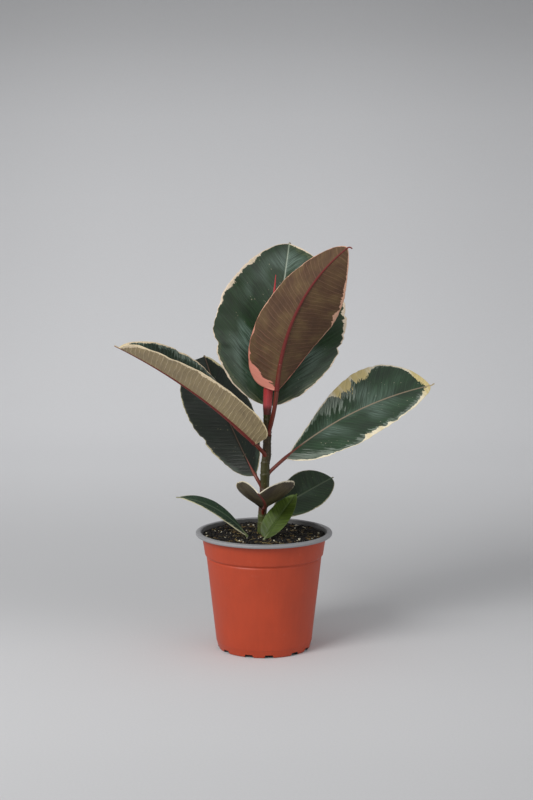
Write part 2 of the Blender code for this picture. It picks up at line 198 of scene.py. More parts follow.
# Leaf blades, in mm and degrees. base: where the blade starts, with its height above the
# potting mix. node: height on the stem where the petiole leaves it. azimuth turns from +X
# towards +Y and rise is up from level; sweep and droop are how far they change by the tip.
# roll turns the blade about its midrib. widest is where along the blade it is widest, and
# fullness is how blunt its ends are; the left half is widest further on by skew, and its ends
# are more pointed by the share pointed, and the right half the other way. fold is how far each
# half lifts from level at the base and at the tip, and cup adds to it towards the margin.
Leaf = namedtuple(
    "Leaf",
    "name base node azimuth sweep rise droop roll twist length width widest fullness"
    " skew pointed fold fold_tip cup petiole_r rows",
)
LEAVES = [
    Leaf("leaf_top_back", (4, 16, 113), 90, 62, 2, 77, 6, 33, 10, 150, 120, 0.49, 0.57,
         -0.03, 0.06, 6, 8, 11, 1.9, 140),
    Leaf("leaf_top_front", (11, -6, 129.5), 87, -50, 22, 83, 48, -33, -68, 155, 71, 0.39, 0.66,
         0.11, 0.10, 28, 22, 11, 1.9, 140),
    Leaf("leaf_mid_left", (-8, -6, 83), 70, 199, -2, 45, 18, 4, -24, 154, 71, 0.38, 0.48,
         -0.03, -0.28, 22, 45, 7, 1.7, 140),
    Leaf("leaf_low_left", (-8, 7, 53), 39, 126, -15, 44, -1, -59, 10, 139, 66, 0.54, 0.52,
         0.12, -0.45, 16, 24, 7, 1.6, 140),
    Leaf("leaf_mid_right", (19, 10, 68), 52, 25, -10, 35, 26, 32, 0, 156, 78, 0.58, 0.62,
         0.12, 0.05, 4, 9, 4, 1.6, 140),
    Leaf("leaf_low_right", (6, 10, 18), 8, 47, -2, 16, 3, 34, -4, 85, 42, 0.57, 0.54,
         0.10, 0.0, 4, 5, 6, 1.4, 80),
    Leaf("leaf_low_front", (0, -6, 26), 14, -85, -17, 16, -7, -2, 0, 85, 62, 0.38, 0.49,
         0.10, 0.0, 21, 37, 18, 1.5, 80),
    Leaf("leaf_basal_left", (-15, -14, 3), -8, 172, -3, 53, 52, -21, 7, 73, 19, 0.53, 0.80,
         -0.12, 0.05, 0, 0, 4, 1.2, 80),
    Leaf("leaf_basal_front", (1, -24, 3), -10, 28, 0, 53, 8, 34, 0, 48, 22, 0.43, 0.58,
         -0.04, -0.05, 8, 8, 8, 1.1, 60),
]
BASAL = ("leaf_basal_left", "leaf_basal_front")
BASAL_PETIOLE_DEPTH = 9.0 * MM
ROW_CROWDING = 0.35
RIB_SUBSTEPS = 3
DRIP_TIP_SHARE = 0.03
DRIP_TIP_CURL = {"leaf_top_back": 150.0, "leaf_top_front": 85.0, "leaf_low_left": 100.0,
                 "leaf_mid_right": -30.0}
DRIP_TIP_HALF_WIDTH = 0.6 * MM
BLADE_FOOT_HALF_WIDTH = 1.0 * MM
RIB_TIP_RADIUS_SHARE = 0.18
RIB_DROP_SHARE = 0.55
RIB_RIDGE_SHARE = 1.15
RIB_COLUMNS = (0.3, 0.55, 0.8, 1.0, 1.3)
OUTER_COLUMNS = 20
PETIOLE_STEPS = 10
PETIOLE_SIDES = 20
PETIOLE_END_SHARE = 0.16

# How each leaf is coloured. cream_left and cream_right are the widths in mm of the cream margin
# at shares of the blade's length, for the left and the right margin seen from above with the
# tip away, and pale_left and pale_right those of the half-pale band inside it. The colours are
# green for the upper side, cream and pale for the two bands, under for the under side, tint for
# the cream there near the foot and rib for the midrib on top. gloss is how shiny the wax is and
# how strong the painted sheen on the upper side is, ripple the height of the margin's waves in mm
# and ragged how uneven its outline is. lean is how far the side veins slant, and veins how
# strongly they show.
Look = namedtuple(
    "Look",
    "cream_left cream_right pale_left pale_right green cream pale under tint rib gloss ripple"
    " ragged lean veins")
LOOKS = {
    "leaf_top_back": Look(
        ((0, 1.2), (0.1, 1.5), (0.3, 0.7), (0.5, 0.4), (0.58, 2.0), (0.65, 4.4), (0.72, 2.4),
         (0.8, 4.0), (0.87, 2.2), (0.93, 0.7), (1, 2.0)),
        ((0, 1.0), (0.1, 1.2), (0.4, 0.8), (0.5, 1.4), (0.56, 3.4), (0.66, 2.6), (0.72, 0.6),
         (0.88, 0.6), (0.94, 3.4), (1, 7.0)),
        ((0, 9.0), (0.08, 8.5), (0.2, 6.0), (0.3, 2.5), (0.4, 0.5), (0.9, 1.0), (1, 2.0)),
        ((0, 7.0), (0.12, 5.0), (0.22, 2.5), (0.35, 1.0), (0.82, 0.8), (0.9, 9.0), (1, 16.0)),
        "14300F", "F1DEC4", "565F3E", "6A4E3A", "D8B79A", "8E9A86", 0.95, 1.2, 1.3, 0.8, 0.8),
    "leaf_top_front": Look(
        ((0, 1.0), (0.2, 0.6), (0.45, 0.8), (0.53, 3.4), (0.6, 2.6), (0.68, 4.6), (0.76, 2.0),
         (0.84, 0.9), (1, 1.0)),
        ((0, 12.0), (0.05, 14.0), (0.09, 10.0), (0.12, 2.2), (0.2, 0.9), (0.6, 0.6), (1, 0.8)),
        ((0, 3.0), (0.3, 1.5), (0.6, 5.0), (0.8, 2.0), (1, 1.0)),
        ((0, 12.0), (0.16, 9.0), (0.3, 2.0), (1, 1.0)),
        "1E3A22", "D6A68C", "8A8A70", "543924", "CE8372", "8E9A86", 0.3, 1.0, 0.8, 0.2, 0.5),
    "leaf_mid_left": Look(
        ((0, 1.6), (0.1, 1.4), (0.3, 1.4), (0.42, 2.8), (0.5, 3.6), (0.56, 2.0), (0.8, 1.6),
         (0.92, 4.0), (1, 12.0)),
        ((0, 0.8), (0.3, 0.8), (0.5, 1.2), (0.7, 1.6), (0.9, 1.4), (0.95, 4.0), (1, 12.0)),
        ((0, 2.0), (0.5, 5.0), (0.7, 2.0), (1, 3.0)),
        ((0, 2.0), (0.45, 4.0), (0.6, 6.0), (0.75, 3.0), (1, 3.0)),
        "1A2D1E", "E9D6B4", "76857A", "9C8A69", "EAD7AE", "8E9A86", 0.2, 1.2, 0.8, 0.35, 2.4),
    # Painted shade: this leaf's green, cream and pale are darkened, as it lies in the shade of
    # leaf_mid_left above it.
    "leaf_low_left": Look(
        ((0, 0.3), (0.2, 0.4), (0.3, 1.6), (0.36, 0.3), (0.5, 0.4), (0.7, 0.7), (0.85, 0.4),
         (1, 1.0)),
        ((0, 0.8), (0.2, 0.5), (0.5, 0.5), (0.7, 1.0), (0.85, 1.8), (1, 1.5)),
        ((0, 4.0), (0.2, 3.0), (0.4, 1.0), (0.8, 1.5), (1, 2.0)),
        ((0, 6.0), (0.15, 8.0), (0.3, 4.0), (0.5, 1.0), (0.8, 3.0), (1, 2.0)),
        "0B140C", "A89E7C", "2A382C", "7E6B50", "8A7A62", "4E3E34", 0.03, 1.0, 1.3, 0.5, 0.3),
    "leaf_mid_right": Look(
        ((0, 0.8), (0.3, 0.7), (0.42, 1.2), (0.47, 9.0), (0.54, 14.0), (0.62, 10.0), (0.69, 6.0),
         (0.74, 1.0), (0.85, 1.4), (0.91, 7.0), (1, 12.0)),
        ((0, 1.6), (0.18, 1.8), (0.26, 0.5), (0.38, 0.6), (0.44, 4.2), (0.54, 5.2), (0.62, 2.6),
         (0.7, 0.8), (0.84, 2.0), (0.92, 7.0), (1, 12.0)),
        ((0, 1.0), (0.3, 3.0), (0.38, 10.0), (0.46, 26.0), (0.52, 18.0), (0.6, 9.0),
         (0.7, 3.0), (0.9, 2.0), (1, 9.0)),
        ((0, 12.0), (0.12, 13.0), (0.2, 10.0), (0.25, 3.0), (0.36, 6.0), (0.46, 8.0),
         (0.6, 5.0), (0.8, 5.0), (0.9, 7.0), (1, 7.0)),
        "1C361E", "F3E8CC", "8A958A", "7E6B50", "E4D2A6", "9A8873", 0.7, 1.2, 1.6, 0.7, 0.9),
    "leaf_low_right": Look(
        ((0, 0.6), (0.5, 0.5), (1, 0.8)), ((0, 1.2), (0.3, 0.6), (1, 0.6)),
        ((0, 2.0), (0.3, 0.8), (1, 0.8)), ((0, 7.0), (0.2, 4.0), (0.4, 0.8), (1, 0.8)),
        "1A2E18", "A8A284", "42523E", "6A5640", "8A8468", "56644F", 0.2, 0.6, 0.6, 0.6, 0.5),
    "leaf_low_front": Look(
        ((0, 0.6), (0.4, 0.7), (0.8, 1.6), (1, 2.6)), ((0, 0.6), (0.4, 0.7), (0.8, 1.6), (1, 2.6)),
        ((0, 2.0), (0.5, 1.0), (1, 2.0)), ((0, 2.0), (0.5, 1.0), (1, 2.0)),
        "1E3A22", "E4DCC4", "9AA68C", "362A15", "D2C4A2", "8E9A86", 0.2, 0.5, 0.5, 0.5, 0.5),
    "leaf_basal_left": Look(
        ((0, 1.0), (0.2, 0.9), (0.5, 0.7), (0.8, 0.6), (1, 1.5)), ((0, 0.1), (0.8, 0.1), (1, 1.2)),
        ((0, 2.6), (0.4, 2.4), (0.7, 1.4), (1, 1.5)), ((0, 0.2), (1, 0.8)),
        "1F3322", "C8C2A2", "6A7860", "6F6A4A", "A8A284", "4E5E4A", 0.2, 0.3, 0.5, 0.6, 0.7),
    "leaf_basal_front": Look(
        ((0, 0.1), (1, 0.2)), ((0, 0.1), (1, 0.2)),
        ((0, 0.4), (1, 0.4)), ((0, 0.4), (1, 0.4)),
        "42541D", "55662A", "42541D", "6E7B42", "55662A", "3C5019", 0.0, 0.3, 0.4, 0.6, 0.0),
}


# ---------------------------------------------------------------- mesh helpers

def add_piece(name, points, faces, replaced):
    """A smooth mesh object that rides on the plant's one body and stands for its CAD node."""
    mesh = bpy.data.meshes.new(name)
    mesh.from_pydata([tuple(p) for p in points], [], faces)
    mesh.polygons.foreach_set("use_smooth", [True] * len(mesh.polygons))
    mesh.update()
    piece = bpy.data.objects.new(name, mesh)
    bpy.context.scene.collection.objects.link(piece)
    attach(piece, BODY)
    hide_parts(replaced)
    return piece


def outward(piece):
    """Turns every face of a closed mesh outwards."""
    made = bmesh.new()
    made.from_mesh(piece.data)
    bmesh.ops.recalc_face_normals(made, faces=made.faces)
    made.to_mesh(piece.data)
    made.free()


def on_points(piece, name, kind, values):
    """Stores one value, or one vector, for each point of the mesh."""
    made = piece.data.attributes.new(name, kind, "POINT")
    if kind == "FLOAT_VECTOR":
        made.data.foreach_set("vector", [c for value in values for c in value])
    else:
        made.data.foreach_set("value", values)


def sweep(path, sides, radius):
    """A closed round rod along a path. radius(i, angle) is its radius at point i of the path."""
    points, faces = [], []
    side = None
    for i, centre in enumerate(path):
        ahead = (path[min(i + 1, len(path) - 1)] - path[max(i - 1, 0)]).normalized()
        if side is None:
            side = ahead.orthogonal()
        side = (side - ahead * side.dot(ahead)).normalized()
        other = ahead.cross(side)
        for k in range(sides):
            angle = tau * k / sides
            reach = radius(i, angle)
            points.append(centre + (side * cos(angle) + other * sin(angle)) * reach)
    for i in range(len(path) - 1):
        for k in range(sides):
            a, b = i * sides + k, i * sides + (k + 1) % sides
            faces.append((a, b, b + sides, a + sides))
    faces.append(tuple(range(sides))[::-1])
    last = (len(path) - 1) * sides
    faces.append(tuple(range(last, last + sides)))
    return points, faces


def between(table, s):
    """The value at s in a table of (share, value) pairs, on a straight line between them."""
    for (low, a), (high, b) in zip(table, table[1:]):
        if s <= high:
            return a + (b - a) * (s - low) / (high - low)
    return table[-1][1]


def smooth_between(table, s):
    """As between, on a line that eases in and out of each pair."""
    for (low, a), (high, b) in zip(table, table[1:]):
        if s <= high:
            share = (s - low) / (high - low)
            return a + (b - a) * share * share * (3 - 2 * share)
    return table[-1][1]


# ---------------------------------------------------------------- materials

def new_material(name):
    made = bpy.data.materials.new(name)
    made.use_nodes = True
    return made, made.node_tree, made.node_tree.nodes["Principled BSDF"]


def add(tree, kind, inputs=None, **settings):
    """Adds a shader node with its settings, and links or sets its inputs."""
    node = tree.nodes.new("ShaderNode" + kind)
    for key, value in settings.items():
        setattr(node, key, value)
    for key, value in (inputs or {}).items():
        if isinstance(value, bpy.types.NodeSocket):
            tree.links.new(value, node.inputs[key])
        else:
            node.inputs[key].default_value = value
    return node


def opaque(colour):
    return (*colour, 1.0)


def mixed(tree, share, colour, other, blend="MIX"):
    """A colour mixed with another by a share. The result is the node's output 2."""
    return add(tree, "Mix", {0: share, 6: colour, 7: other}, data_type="RGBA", blend_type=blend)


def toned(tree, colour, tone):
    """A colour made darker or lighter by a tone. The result is the node's output 2."""
    return mixed(tree, 1.0, colour, tone, "MULTIPLY")


def ranged(tree, value, source, result, kind="LINEAR"):
    """A value carried over from one range to another, and kept inside it."""
    return add(tree, "MapRange", {0: value, 1: source[0], 2: source[1], 3: result[0], 4: result[1]},
               interpolation_type=kind)


def eased(tree, value, source, result):
    """As ranged, but easing in and out at the range's ends."""
    return ranged(tree, value, source, result, "SMOOTHSTEP")


def maths(tree, operation, *values):
    """One operation on sockets or numbers, such as a product."""
    return add(tree, "Math", dict(enumerate(values)), operation=operation)


def thermoformed_polypropylene(name, colour, worn, shaded_below=None):
    """Thermoformed polypropylene sheet: a satin skin with faint clouds and fine drawn streaks.

    Its evenness is what makes it read as plastic, so the colour moves by only a few percent,
    and dust and scuffs lighten it a little here and there. The last argument is the height under
    which it is turned nearly black: painted shade on the inner wall, in the recess under the lip.
    """
    made, tree, shader = new_material(name)
    place = add(tree, "TexCoord").outputs["Object"]
    clouds = add(tree, "TexNoise", {"Vector": place, "Scale": 1 / (28 * MM), "Detail": 3.0})
    cloudy = ranged(tree, clouds.outputs[0], (0.3, 0.7), (0.93, 1.06))
    tall = add(tree, "Mapping", {0: place, 3: (1.0, 1.0, 0.12)})
    drawn = add(tree, "TexNoise", {"Vector": tall.outputs[0], "Scale": 1 / (3 * MM), "Detail": 2.0})
    streaks = ranged(tree, drawn.outputs[0], (0.3, 0.7), (0.97, 1.03))
    tone = maths(tree, "MULTIPLY", cloudy.outputs[0], streaks.outputs[0])
    base = toned(tree, opaque(colour), tone.outputs[0])
    scuffs = add(tree, "TexNoise", {"Vector": place, "Scale": 1 / (6 * MM), "Detail": 8.0,
                                    "Roughness": 0.75})
    scuffed = ranged(tree, scuffs.outputs[0], (0.60, 0.78), (0.0, worn))
    dusty = mixed(tree, scuffed.outputs[0], base.outputs[2], (0.62, 0.55, 0.50, 1))
    last = dusty
    # Painted shade: below the given height the inner wall turns nearly black, with a ragged top,
    # for the shade in the recess under the lip.
    if shaded_below:
        level = add(tree, "SeparateXYZ", {0: place}).outputs[2]
        shade_edge = maths(tree, "MULTIPLY_ADD", scuffs.outputs[0], 3.5 * MM, level)
        shade_share = ranged(tree, shade_edge.outputs[0], (shaded_below, shaded_below + 1.6 * MM), (0.85, 0.0))
        last = mixed(tree, shade_share.outputs[0], dusty.outputs[2], opaque(linear("1E1D19")))
    tree.links.new(last.outputs[2], shader.inputs["Base Color"])
    gloss = ranged(tree, clouds.outputs[0], (0.3, 0.7), (0.42, 0.54))
    tree.links.new(gloss.outputs[0], shader.inputs["Roughness"])
    shader.inputs["IOR"].default_value = 1.49
    grain = add(tree, "TexNoise", {"Vector": place, "Scale": 1 / (0.9 * MM), "Detail": 2.0})
    bump = add(tree, "Bump", {"Strength": 0.10, "Distance": 0.1 * MM, "Height": grain.outputs[0]})
    tree.links.new(bump.outputs[0], shader.inputs["Normal"])
    return made


def loose_grain(name, dark, light, grain_mm, roughness, depth_mm):
    """Broken grains, such as peat, bark or perlite: matt, and each its own tone."""
    made, tree, shader = new_material(name)
    place = add(tree, "TexCoord").outputs["Object"]
    tone = add(tree, "Attribute", attribute_name="grain_tone")
    fine = add(tree, "TexNoise", {"Vector": place, "Scale": 1 / (grain_mm * MM), "Detail": 5.0,
                                  "Roughness": 0.7})
    grained = maths(tree, "MULTIPLY", tone.outputs["Fac"], fine.outputs[0])
    share = ranged(tree, grained.outputs[0], (0.05, 0.62), (0.0, 1.0))
    colour = mixed(tree, share.outputs[0], opaque(dark), opaque(light))
    tree.links.new(colour.outputs[2], shader.inputs["Base Color"])
    shader.inputs["Roughness"].default_value = roughness
    bump = add(tree, "Bump", {"Strength": 0.8, "Distance": depth_mm * MM,
                              "Height": fine.outputs[0]})
    tree.links.new(bump.outputs[0], shader.inputs["Normal"])
    return made


def young_bark(settings):
    """Bark of a young fig stem: green at the ground, red above it and brown near the top, satin,
    with fine lengthwise cracks and pale dots of cork."""
    made, tree, shader = new_material("young_fig_bark")
    place = add(tree, "TexCoord").outputs["Object"]
    level = add(tree, "SeparateXYZ", {0: place}).outputs[2]
    blotch = add(tree, "TexNoise", {"Vector": place, "Scale": 1 / (7 * MM), "Detail": 4.0})
    shift = maths(tree, "MULTIPLY_ADD", blotch.outputs[0], 16 * MM, level)
    share = ranged(tree, shift.outputs[0], (RIM_TOP, RIM_TOP + 112 * MM), (0.0, 1.0))
    bands = add(tree, "ValToRGB", {0: share.outputs[0]})
    ramp = bands.color_ramp
    green, red, brown = (opaque(c) for c in (settings.green_colour, settings.red_colour,
                                             settings.brown_colour))
    olive = opaque(linear("3A3814"))
    stops = ((0.0, green), (0.17, green), (0.25, red), (0.36, red), (0.44, olive),
             (0.58, olive), (0.68, brown), (0.86, brown), (1.0, olive))
    ramp.elements[0].position, ramp.elements[0].color = stops[0]
    ramp.elements[1].position, ramp.elements[1].color = stops[-1]
    for position, colour in stops[1:-1]:
        ramp.elements.new(position).color = colour
    tall = add(tree, "Mapping", {0: place, 3: (1.0, 1.0, 0.14)})
    cracks = add(tree, "TexNoise", {"Vector": tall.outputs[0], "Scale": 1 / (0.8 * MM),
                                    "Detail": 4.0})
    lined = ranged(tree, cracks.outputs[0], (0.3, 0.7), (0.72, 1.22))
    base = toned(tree, bands.outputs[0], lined.outputs[0])
    cells = add(tree, "TexVoronoi", {"Vector": place, "Scale": 1 / (2.6 * MM)})
    corky = ranged(tree, cells.outputs[0], (0.10, 0.18), (0.55, 0.0))
    dotted = mixed(tree, corky.outputs[0], base.outputs[2], opaque(linear("8A7550")))
    tree.links.new(dotted.outputs[2], shader.inputs["Base Color"])
    shader.inputs["Roughness"].default_value = 0.46
    rough = maths(tree, "ADD", cracks.outputs[0], corky.outputs[0])
    bump = add(tree, "Bump", {"Strength": 0.6, "Distance": 0.25 * MM, "Height": rough.outputs[0]})
    tree.links.new(bump.outputs[0], shader.inputs["Normal"])
    return made


def rolled_stipule(settings):
    """The bud's sheath: a thin waxy skin, red, with fine lengthwise lines and a paler foot."""
    made, tree, shader = new_material("waxy_bud_sheath")
    along = add(tree, "Attribute", attribute_name="along")
    place = add(tree, "TexCoord").outputs["Object"]
    tall = add(tree, "Mapping", {0: place, 3: (1.0, 1.0, 0.05)})
    lines = add(tree, "TexNoise", {"Vector": tall.outputs[0], "Scale": 1 / (0.7 * MM),
                                   "Detail": 3.0})
    foot = ranged(tree, along.outputs["Fac"], (0.02, 0.16), (0.75, 0.0))
    red = mixed(tree, foot.outputs[0], opaque(settings.colour), opaque(settings.base_colour))
    # The lowest few millimetres are a dark red-brown, where the sheath joins the shoot.
    joint = eased(tree, along.outputs["Fac"], (0.03, 0.08), (0.9, 0.0))
    footed = mixed(tree, joint.outputs[0], red.outputs[2], opaque(linear("4A2620")))
    tone = ranged(tree, lines.outputs[0], (0.3, 0.7), (0.8, 1.2))
    base = toned(tree, footed.outputs[2], tone.outputs[0])
    tree.links.new(base.outputs[2], shader.inputs["Base Color"])
    shader.inputs["Roughness"].default_value = 0.4
    bump = add(tree, "Bump", {"Strength": 0.4, "Distance": 0.2 * MM, "Height": lines.outputs[0]})
    tree.links.new(bump.outputs[0], shader.inputs["Normal"])
    return made


def leaf_places(tree, spacing_mm, look):
    """Where a point of a blade lies, in mm: the nodes that every leaf material starts with.

    Gives the distance from the midrib, a place whose first part runs along the midrib once the
    side veins' lean is taken out, and the side veins as a wave from 0 between to 1 on a vein.
    """
    blade = add(tree, "Attribute", attribute_name="blade_mm")
    parts = add(tree, "SeparateXYZ", {0: blade.outputs["Vector"]})
    across = maths(tree, "ABSOLUTE", parts.outputs[0]).outputs[0]
    wander = add(tree, "TexNoise", {"Vector": blade.outputs["Vector"], "Scale": 0.06,
                                    "Detail": 2.0})
    loose = maths(tree, "MULTIPLY_ADD", wander.outputs[0], 4.0, parts.outputs[1])
    leaned = maths(tree, "MULTIPLY_ADD", across, -look.lean, loose.outputs[0]).outputs[0]
    flow = add(tree, "CombineXYZ", {0: leaned, 1: across, 2: parts.outputs[2]}).outputs[0]
    phase = maths(tree, "DIVIDE", leaned, spacing_mm)
    cycle = maths(tree, "FRACT", phase.outputs[0])
    ridge = eased(tree, cycle.outputs[0], (0.38, 0.5), (0.0, 1.0))
    fall = eased(tree, cycle.outputs[0], (0.5, 0.62), (1.0, 0.0))
    crest = maths(tree, "MULTIPLY", ridge.outputs[0], fall.outputs[0])
    veins = maths(tree, "MULTIPLY", crest.outputs[0], look.veins)
    return across, flow, veins.outputs[0]


def pale_zone(tree, width_name, edge, flow, reach_mm, streak_scale):
    """How far a point lies in a pale band along the margin, with streaks along the veins."""
    width = add(tree, "Attribute", attribute_name=width_name).outputs["Fac"]
    streaky = add(tree, "Mapping", {0: flow, 3: streak_scale})
    streaks = add(tree, "TexNoise", {"Vector": streaky.outputs[0], "Scale": 1.0, "Detail": 4.0,
                                     "Roughness": 0.62})
    centred = maths(tree, "SUBTRACT", streaks.outputs[0], 0.5)
    scaled = maths(tree, "MULTIPLY", width, reach_mm)
    pushed = maths(tree, "MULTIPLY_ADD", centred.outputs[0], scaled.outputs[0], width)
    inside = maths(tree, "SUBTRACT", pushed.outputs[0], edge)
    return eased(tree, inside.outputs[0], (-0.25, 0.35), (0.0, 1.0)).outputs[0]


def upper_side(name, settings, look):
    """Upper side of a fig leaf: a thick waxy skin over dark green.

    The wax gives a soft broad gloss, and a grey-blue painted sheen in broad patches and streaks
    along the side veins stands in for the room reflected in it and for its bloom. Cream margins
    and half-pale streaks run in along the side veins, the midrib is a thin pale line, and small
    pale freckles lie between the veins.
    """
    green, cream, rib = linear(look.green), linear(look.cream), linear(look.rib)
    made, tree, shader = new_material(name)
    across, flow, veins = leaf_places(tree, settings.vein_spacing / MM, look)
    edge = add(tree, "Attribute", attribute_name="edge_mm").outputs["Fac"]
    clouds = add(tree, "TexNoise", {"Vector": flow, "Scale": 0.05, "Detail": 4.0})
    depth = ranged(tree, clouds.outputs[0], (0.3, 0.7), (0.62, 1.4))
    streaky = add(tree, "Mapping", {0: flow, 3: (0.9, 0.05, 1.0)})
    fine = add(tree, "TexNoise", {"Vector": streaky.outputs[0], "Scale": 1.0, "Detail": 5.0,
                                  "Roughness": 0.65})
    lined = ranged(tree, fine.outputs[0], (0.3, 0.7), (0.55, 1.55))
    tone = maths(tree, "MULTIPLY", depth.outputs[0], lined.outputs[0])
    leafy = toned(tree, opaque(green), tone.outputs[0])
    # Painted sheen: a grey-blue haze in broad patches and in streaks along the side veins, weakest
    # near the margin, stands in for the room reflected in the wax, and for the wax's own bloom.
    wide = add(tree, "TexNoise", {"Vector": flow, "Scale": 0.028, "Detail": 1.0})
    patch = ranged(tree, wide.outputs[0], (0.44, 0.58), (0.04, 1.0))
    sheen_streaks = ranged(tree, fine.outputs[0], (0.38, 0.64), (0.1, 1.0))
    sheen_patches = maths(tree, "MULTIPLY", patch.outputs[0], sheen_streaks.outputs[0])
    sheen_band = ranged(tree, edge, (8.0, 26.0), (0.15 * look.gloss, 1.2 * look.gloss))
    bloom_and_sheen = maths(tree, "MULTIPLY", sheen_patches.outputs[0], sheen_band.outputs[0])
    sheened = mixed(tree, bloom_and_sheen.outputs[0], leafy.outputs[2], opaque(settings.sheen_and_vein_grey))
    veined = maths(tree, "MULTIPLY", veins, 0.07)
    body = mixed(tree, veined.outputs[0], sheened.outputs[2], opaque(settings.sheen_and_vein_grey))
    half_pale = pale_zone(tree, "pale_mm", edge, flow, 3.6, (0.62, 0.04, 1.0))
    half_share = ranged(tree, fine.outputs[0], (0.4, 0.6), (0.05, 0.95))
    half_mixed = maths(tree, "MULTIPLY", half_pale, half_share.outputs[0])
    greyed = mixed(tree, half_mixed.outputs[0], body.outputs[2], opaque(linear(look.pale)))
    freckle_place = add(tree, "Mapping", {0: flow, 3: (0.30, 0.26, 1.0)})
    cells = add(tree, "TexVoronoi", {"Vector": freckle_place.outputs[0], "Scale": 1.0})
    spots = ranged(tree, cells.outputs[0], (0.06, 0.12), (0.6, 0.0))
    patches = ranged(tree, clouds.outputs[0], (0.48, 0.58), (0.0, 1.0))
    freckles = maths(tree, "MULTIPLY", spots.outputs[0], patches.outputs[0])
    freckled = mixed(tree, freckles.outputs[0], greyed.outputs[2], opaque(cream))
    pale = pale_zone(tree, "cream_mm", edge, flow, 1.9, (0.7, 0.10, 1.0))
    width = add(tree, "Attribute", attribute_name="cream_mm").outputs["Fac"]
    yellowed = ranged(tree, width, (4.0, 9.0), (0.0, 0.9))
    ivory = mixed(tree, yellowed.outputs[0], opaque(cream), opaque(settings.patch_colour))
    marbled = ranged(tree, fine.outputs[0], (0.3, 0.7), (0.84, 1.08))
    streaked = toned(tree, ivory.outputs[2], marbled.outputs[0])
    creamy = mixed(tree, pale, freckled.outputs[2], streaked.outputs[2])
    ribbed = eased(tree, across, (0.45, 0.95), (0.8, 0.0))
    finished = mixed(tree, ribbed.outputs[0], creamy.outputs[2], opaque(rib))
    rim = ranged(tree, edge, (0.0, 0.35), (0.4, 0.0))
    rimmed = mixed(tree, rim.outputs[0], finished.outputs[2], opaque(linear(look.tint)))
    tree.links.new(rimmed.outputs[2], shader.inputs["Base Color"])
    wax = ranged(tree, fine.outputs[0], (0.3, 0.7), (0.36, 0.52))
    tree.links.new(wax.outputs[0], shader.inputs["Roughness"])
    shader.inputs["IOR"].default_value = 1.45
    shader.inputs["Specular IOR Level"].default_value = 0.3 + 0.2 * look.gloss
    shader.inputs["Coat Weight"].default_value = 0.6 * look.gloss
    shader.inputs["Coat Roughness"].default_value = 0.28
    height = maths(tree, "MULTIPLY_ADD", veins, -0.5, fine.outputs[0])
    bump = add(tree, "Bump", {"Strength": 0.5, "Distance": 0.4 * MM,
                              "Height": height.outputs[0]})
    tree.links.new(bump.outputs[0], shader.inputs["Normal"])
    return made


def under_side(name, settings, look, young):
    """Under side of a fig leaf: matt and felty, brown to khaki, with raised paler side veins, a
    red midrib and margins as pale as above but duller, pinker near the foot."""
    colour = linear(look.under)
    made, tree, shader = new_material(name)
    across, flow, veins = leaf_places(tree, settings.vein_spacing / MM, look)
    edge = add(tree, "Attribute", attribute_name="edge_mm").outputs["Fac"]
    clouds = add(tree, "TexNoise", {"Vector": flow, "Scale": 0.07, "Detail": 4.0})
    depth = ranged(tree, clouds.outputs[0], (0.3, 0.7), (0.78, 1.2))
    streaky = add(tree, "Mapping", {0: flow, 3: (1.3, 0.07, 1.0)})
    fine = add(tree, "TexNoise", {"Vector": streaky.outputs[0], "Scale": 1.0, "Detail": 5.0,
                                  "Roughness": 0.65})
    lined = ranged(tree, fine.outputs[0], (0.3, 0.7), (0.8, 1.2))
    tone = maths(tree, "MULTIPLY", depth.outputs[0], lined.outputs[0])
    blade = add(tree, "Attribute", attribute_name="blade_mm")
    along = add(tree, "SeparateXYZ", {0: blade.outputs["Vector"]}).outputs[1]
    reach = ranged(tree, along, (30.0, 60.0), (0.0, 1.0))
    tinted = mixed(tree, reach.outputs[0], opaque(linear(look.tint)), opaque(linear(look.cream)))
    cream = tinted.outputs[2]
    ageing = ranged(tree, clouds.outputs[0], (0.4, 0.7), (0.0, 0.25))
    aged = mixed(tree, ageing.outputs[0], opaque(colour), opaque(linear("6A6238")))
    felt = toned(tree, aged.outputs[2], tone.outputs[0])
    faded = ranged(tree, fine.outputs[0], (0.35, 0.65), (0.03, 0.26))
    veined = maths(tree, "MULTIPLY", veins, faded.outputs[0])
    body = mixed(tree, veined.outputs[0], felt.outputs[2], cream)
    pale = pale_zone(tree, "cream_mm", edge, flow, 1.5, (0.5, 0.10, 1.0))
    creamy = mixed(tree, pale, body.outputs[2], cream)
    rib = add(tree, "Attribute", attribute_name="rib_mm").outputs["Fac"]
    over = maths(tree, "SUBTRACT", rib, across)
    ribbed = eased(tree, over.outputs[0], (-0.35, 0.15), (0.0, 1.0))
    rib_colour = opaque(settings.young_colour if young else settings.rib_colour)
    ridge_tone = mixed(tree, 0.6, rib_colour, fine.outputs[0], "SOFT_LIGHT")
    finished = mixed(tree, ribbed.outputs[0], creamy.outputs[2], ridge_tone.outputs[2])
    tree.links.new(finished.outputs[2], shader.inputs["Base Color"])
    shader.inputs["Roughness"].default_value = 0.58
    shader.inputs["IOR"].default_value = 1.45
    height = maths(tree, "MULTIPLY_ADD", veins, 0.8, fine.outputs[0])
    bump = add(tree, "Bump", {"Strength": 0.45, "Distance": 0.3 * MM,
                              "Height": height.outputs[0]})
    tree.links.new(bump.outputs[0], shader.inputs["Normal"])
    return made


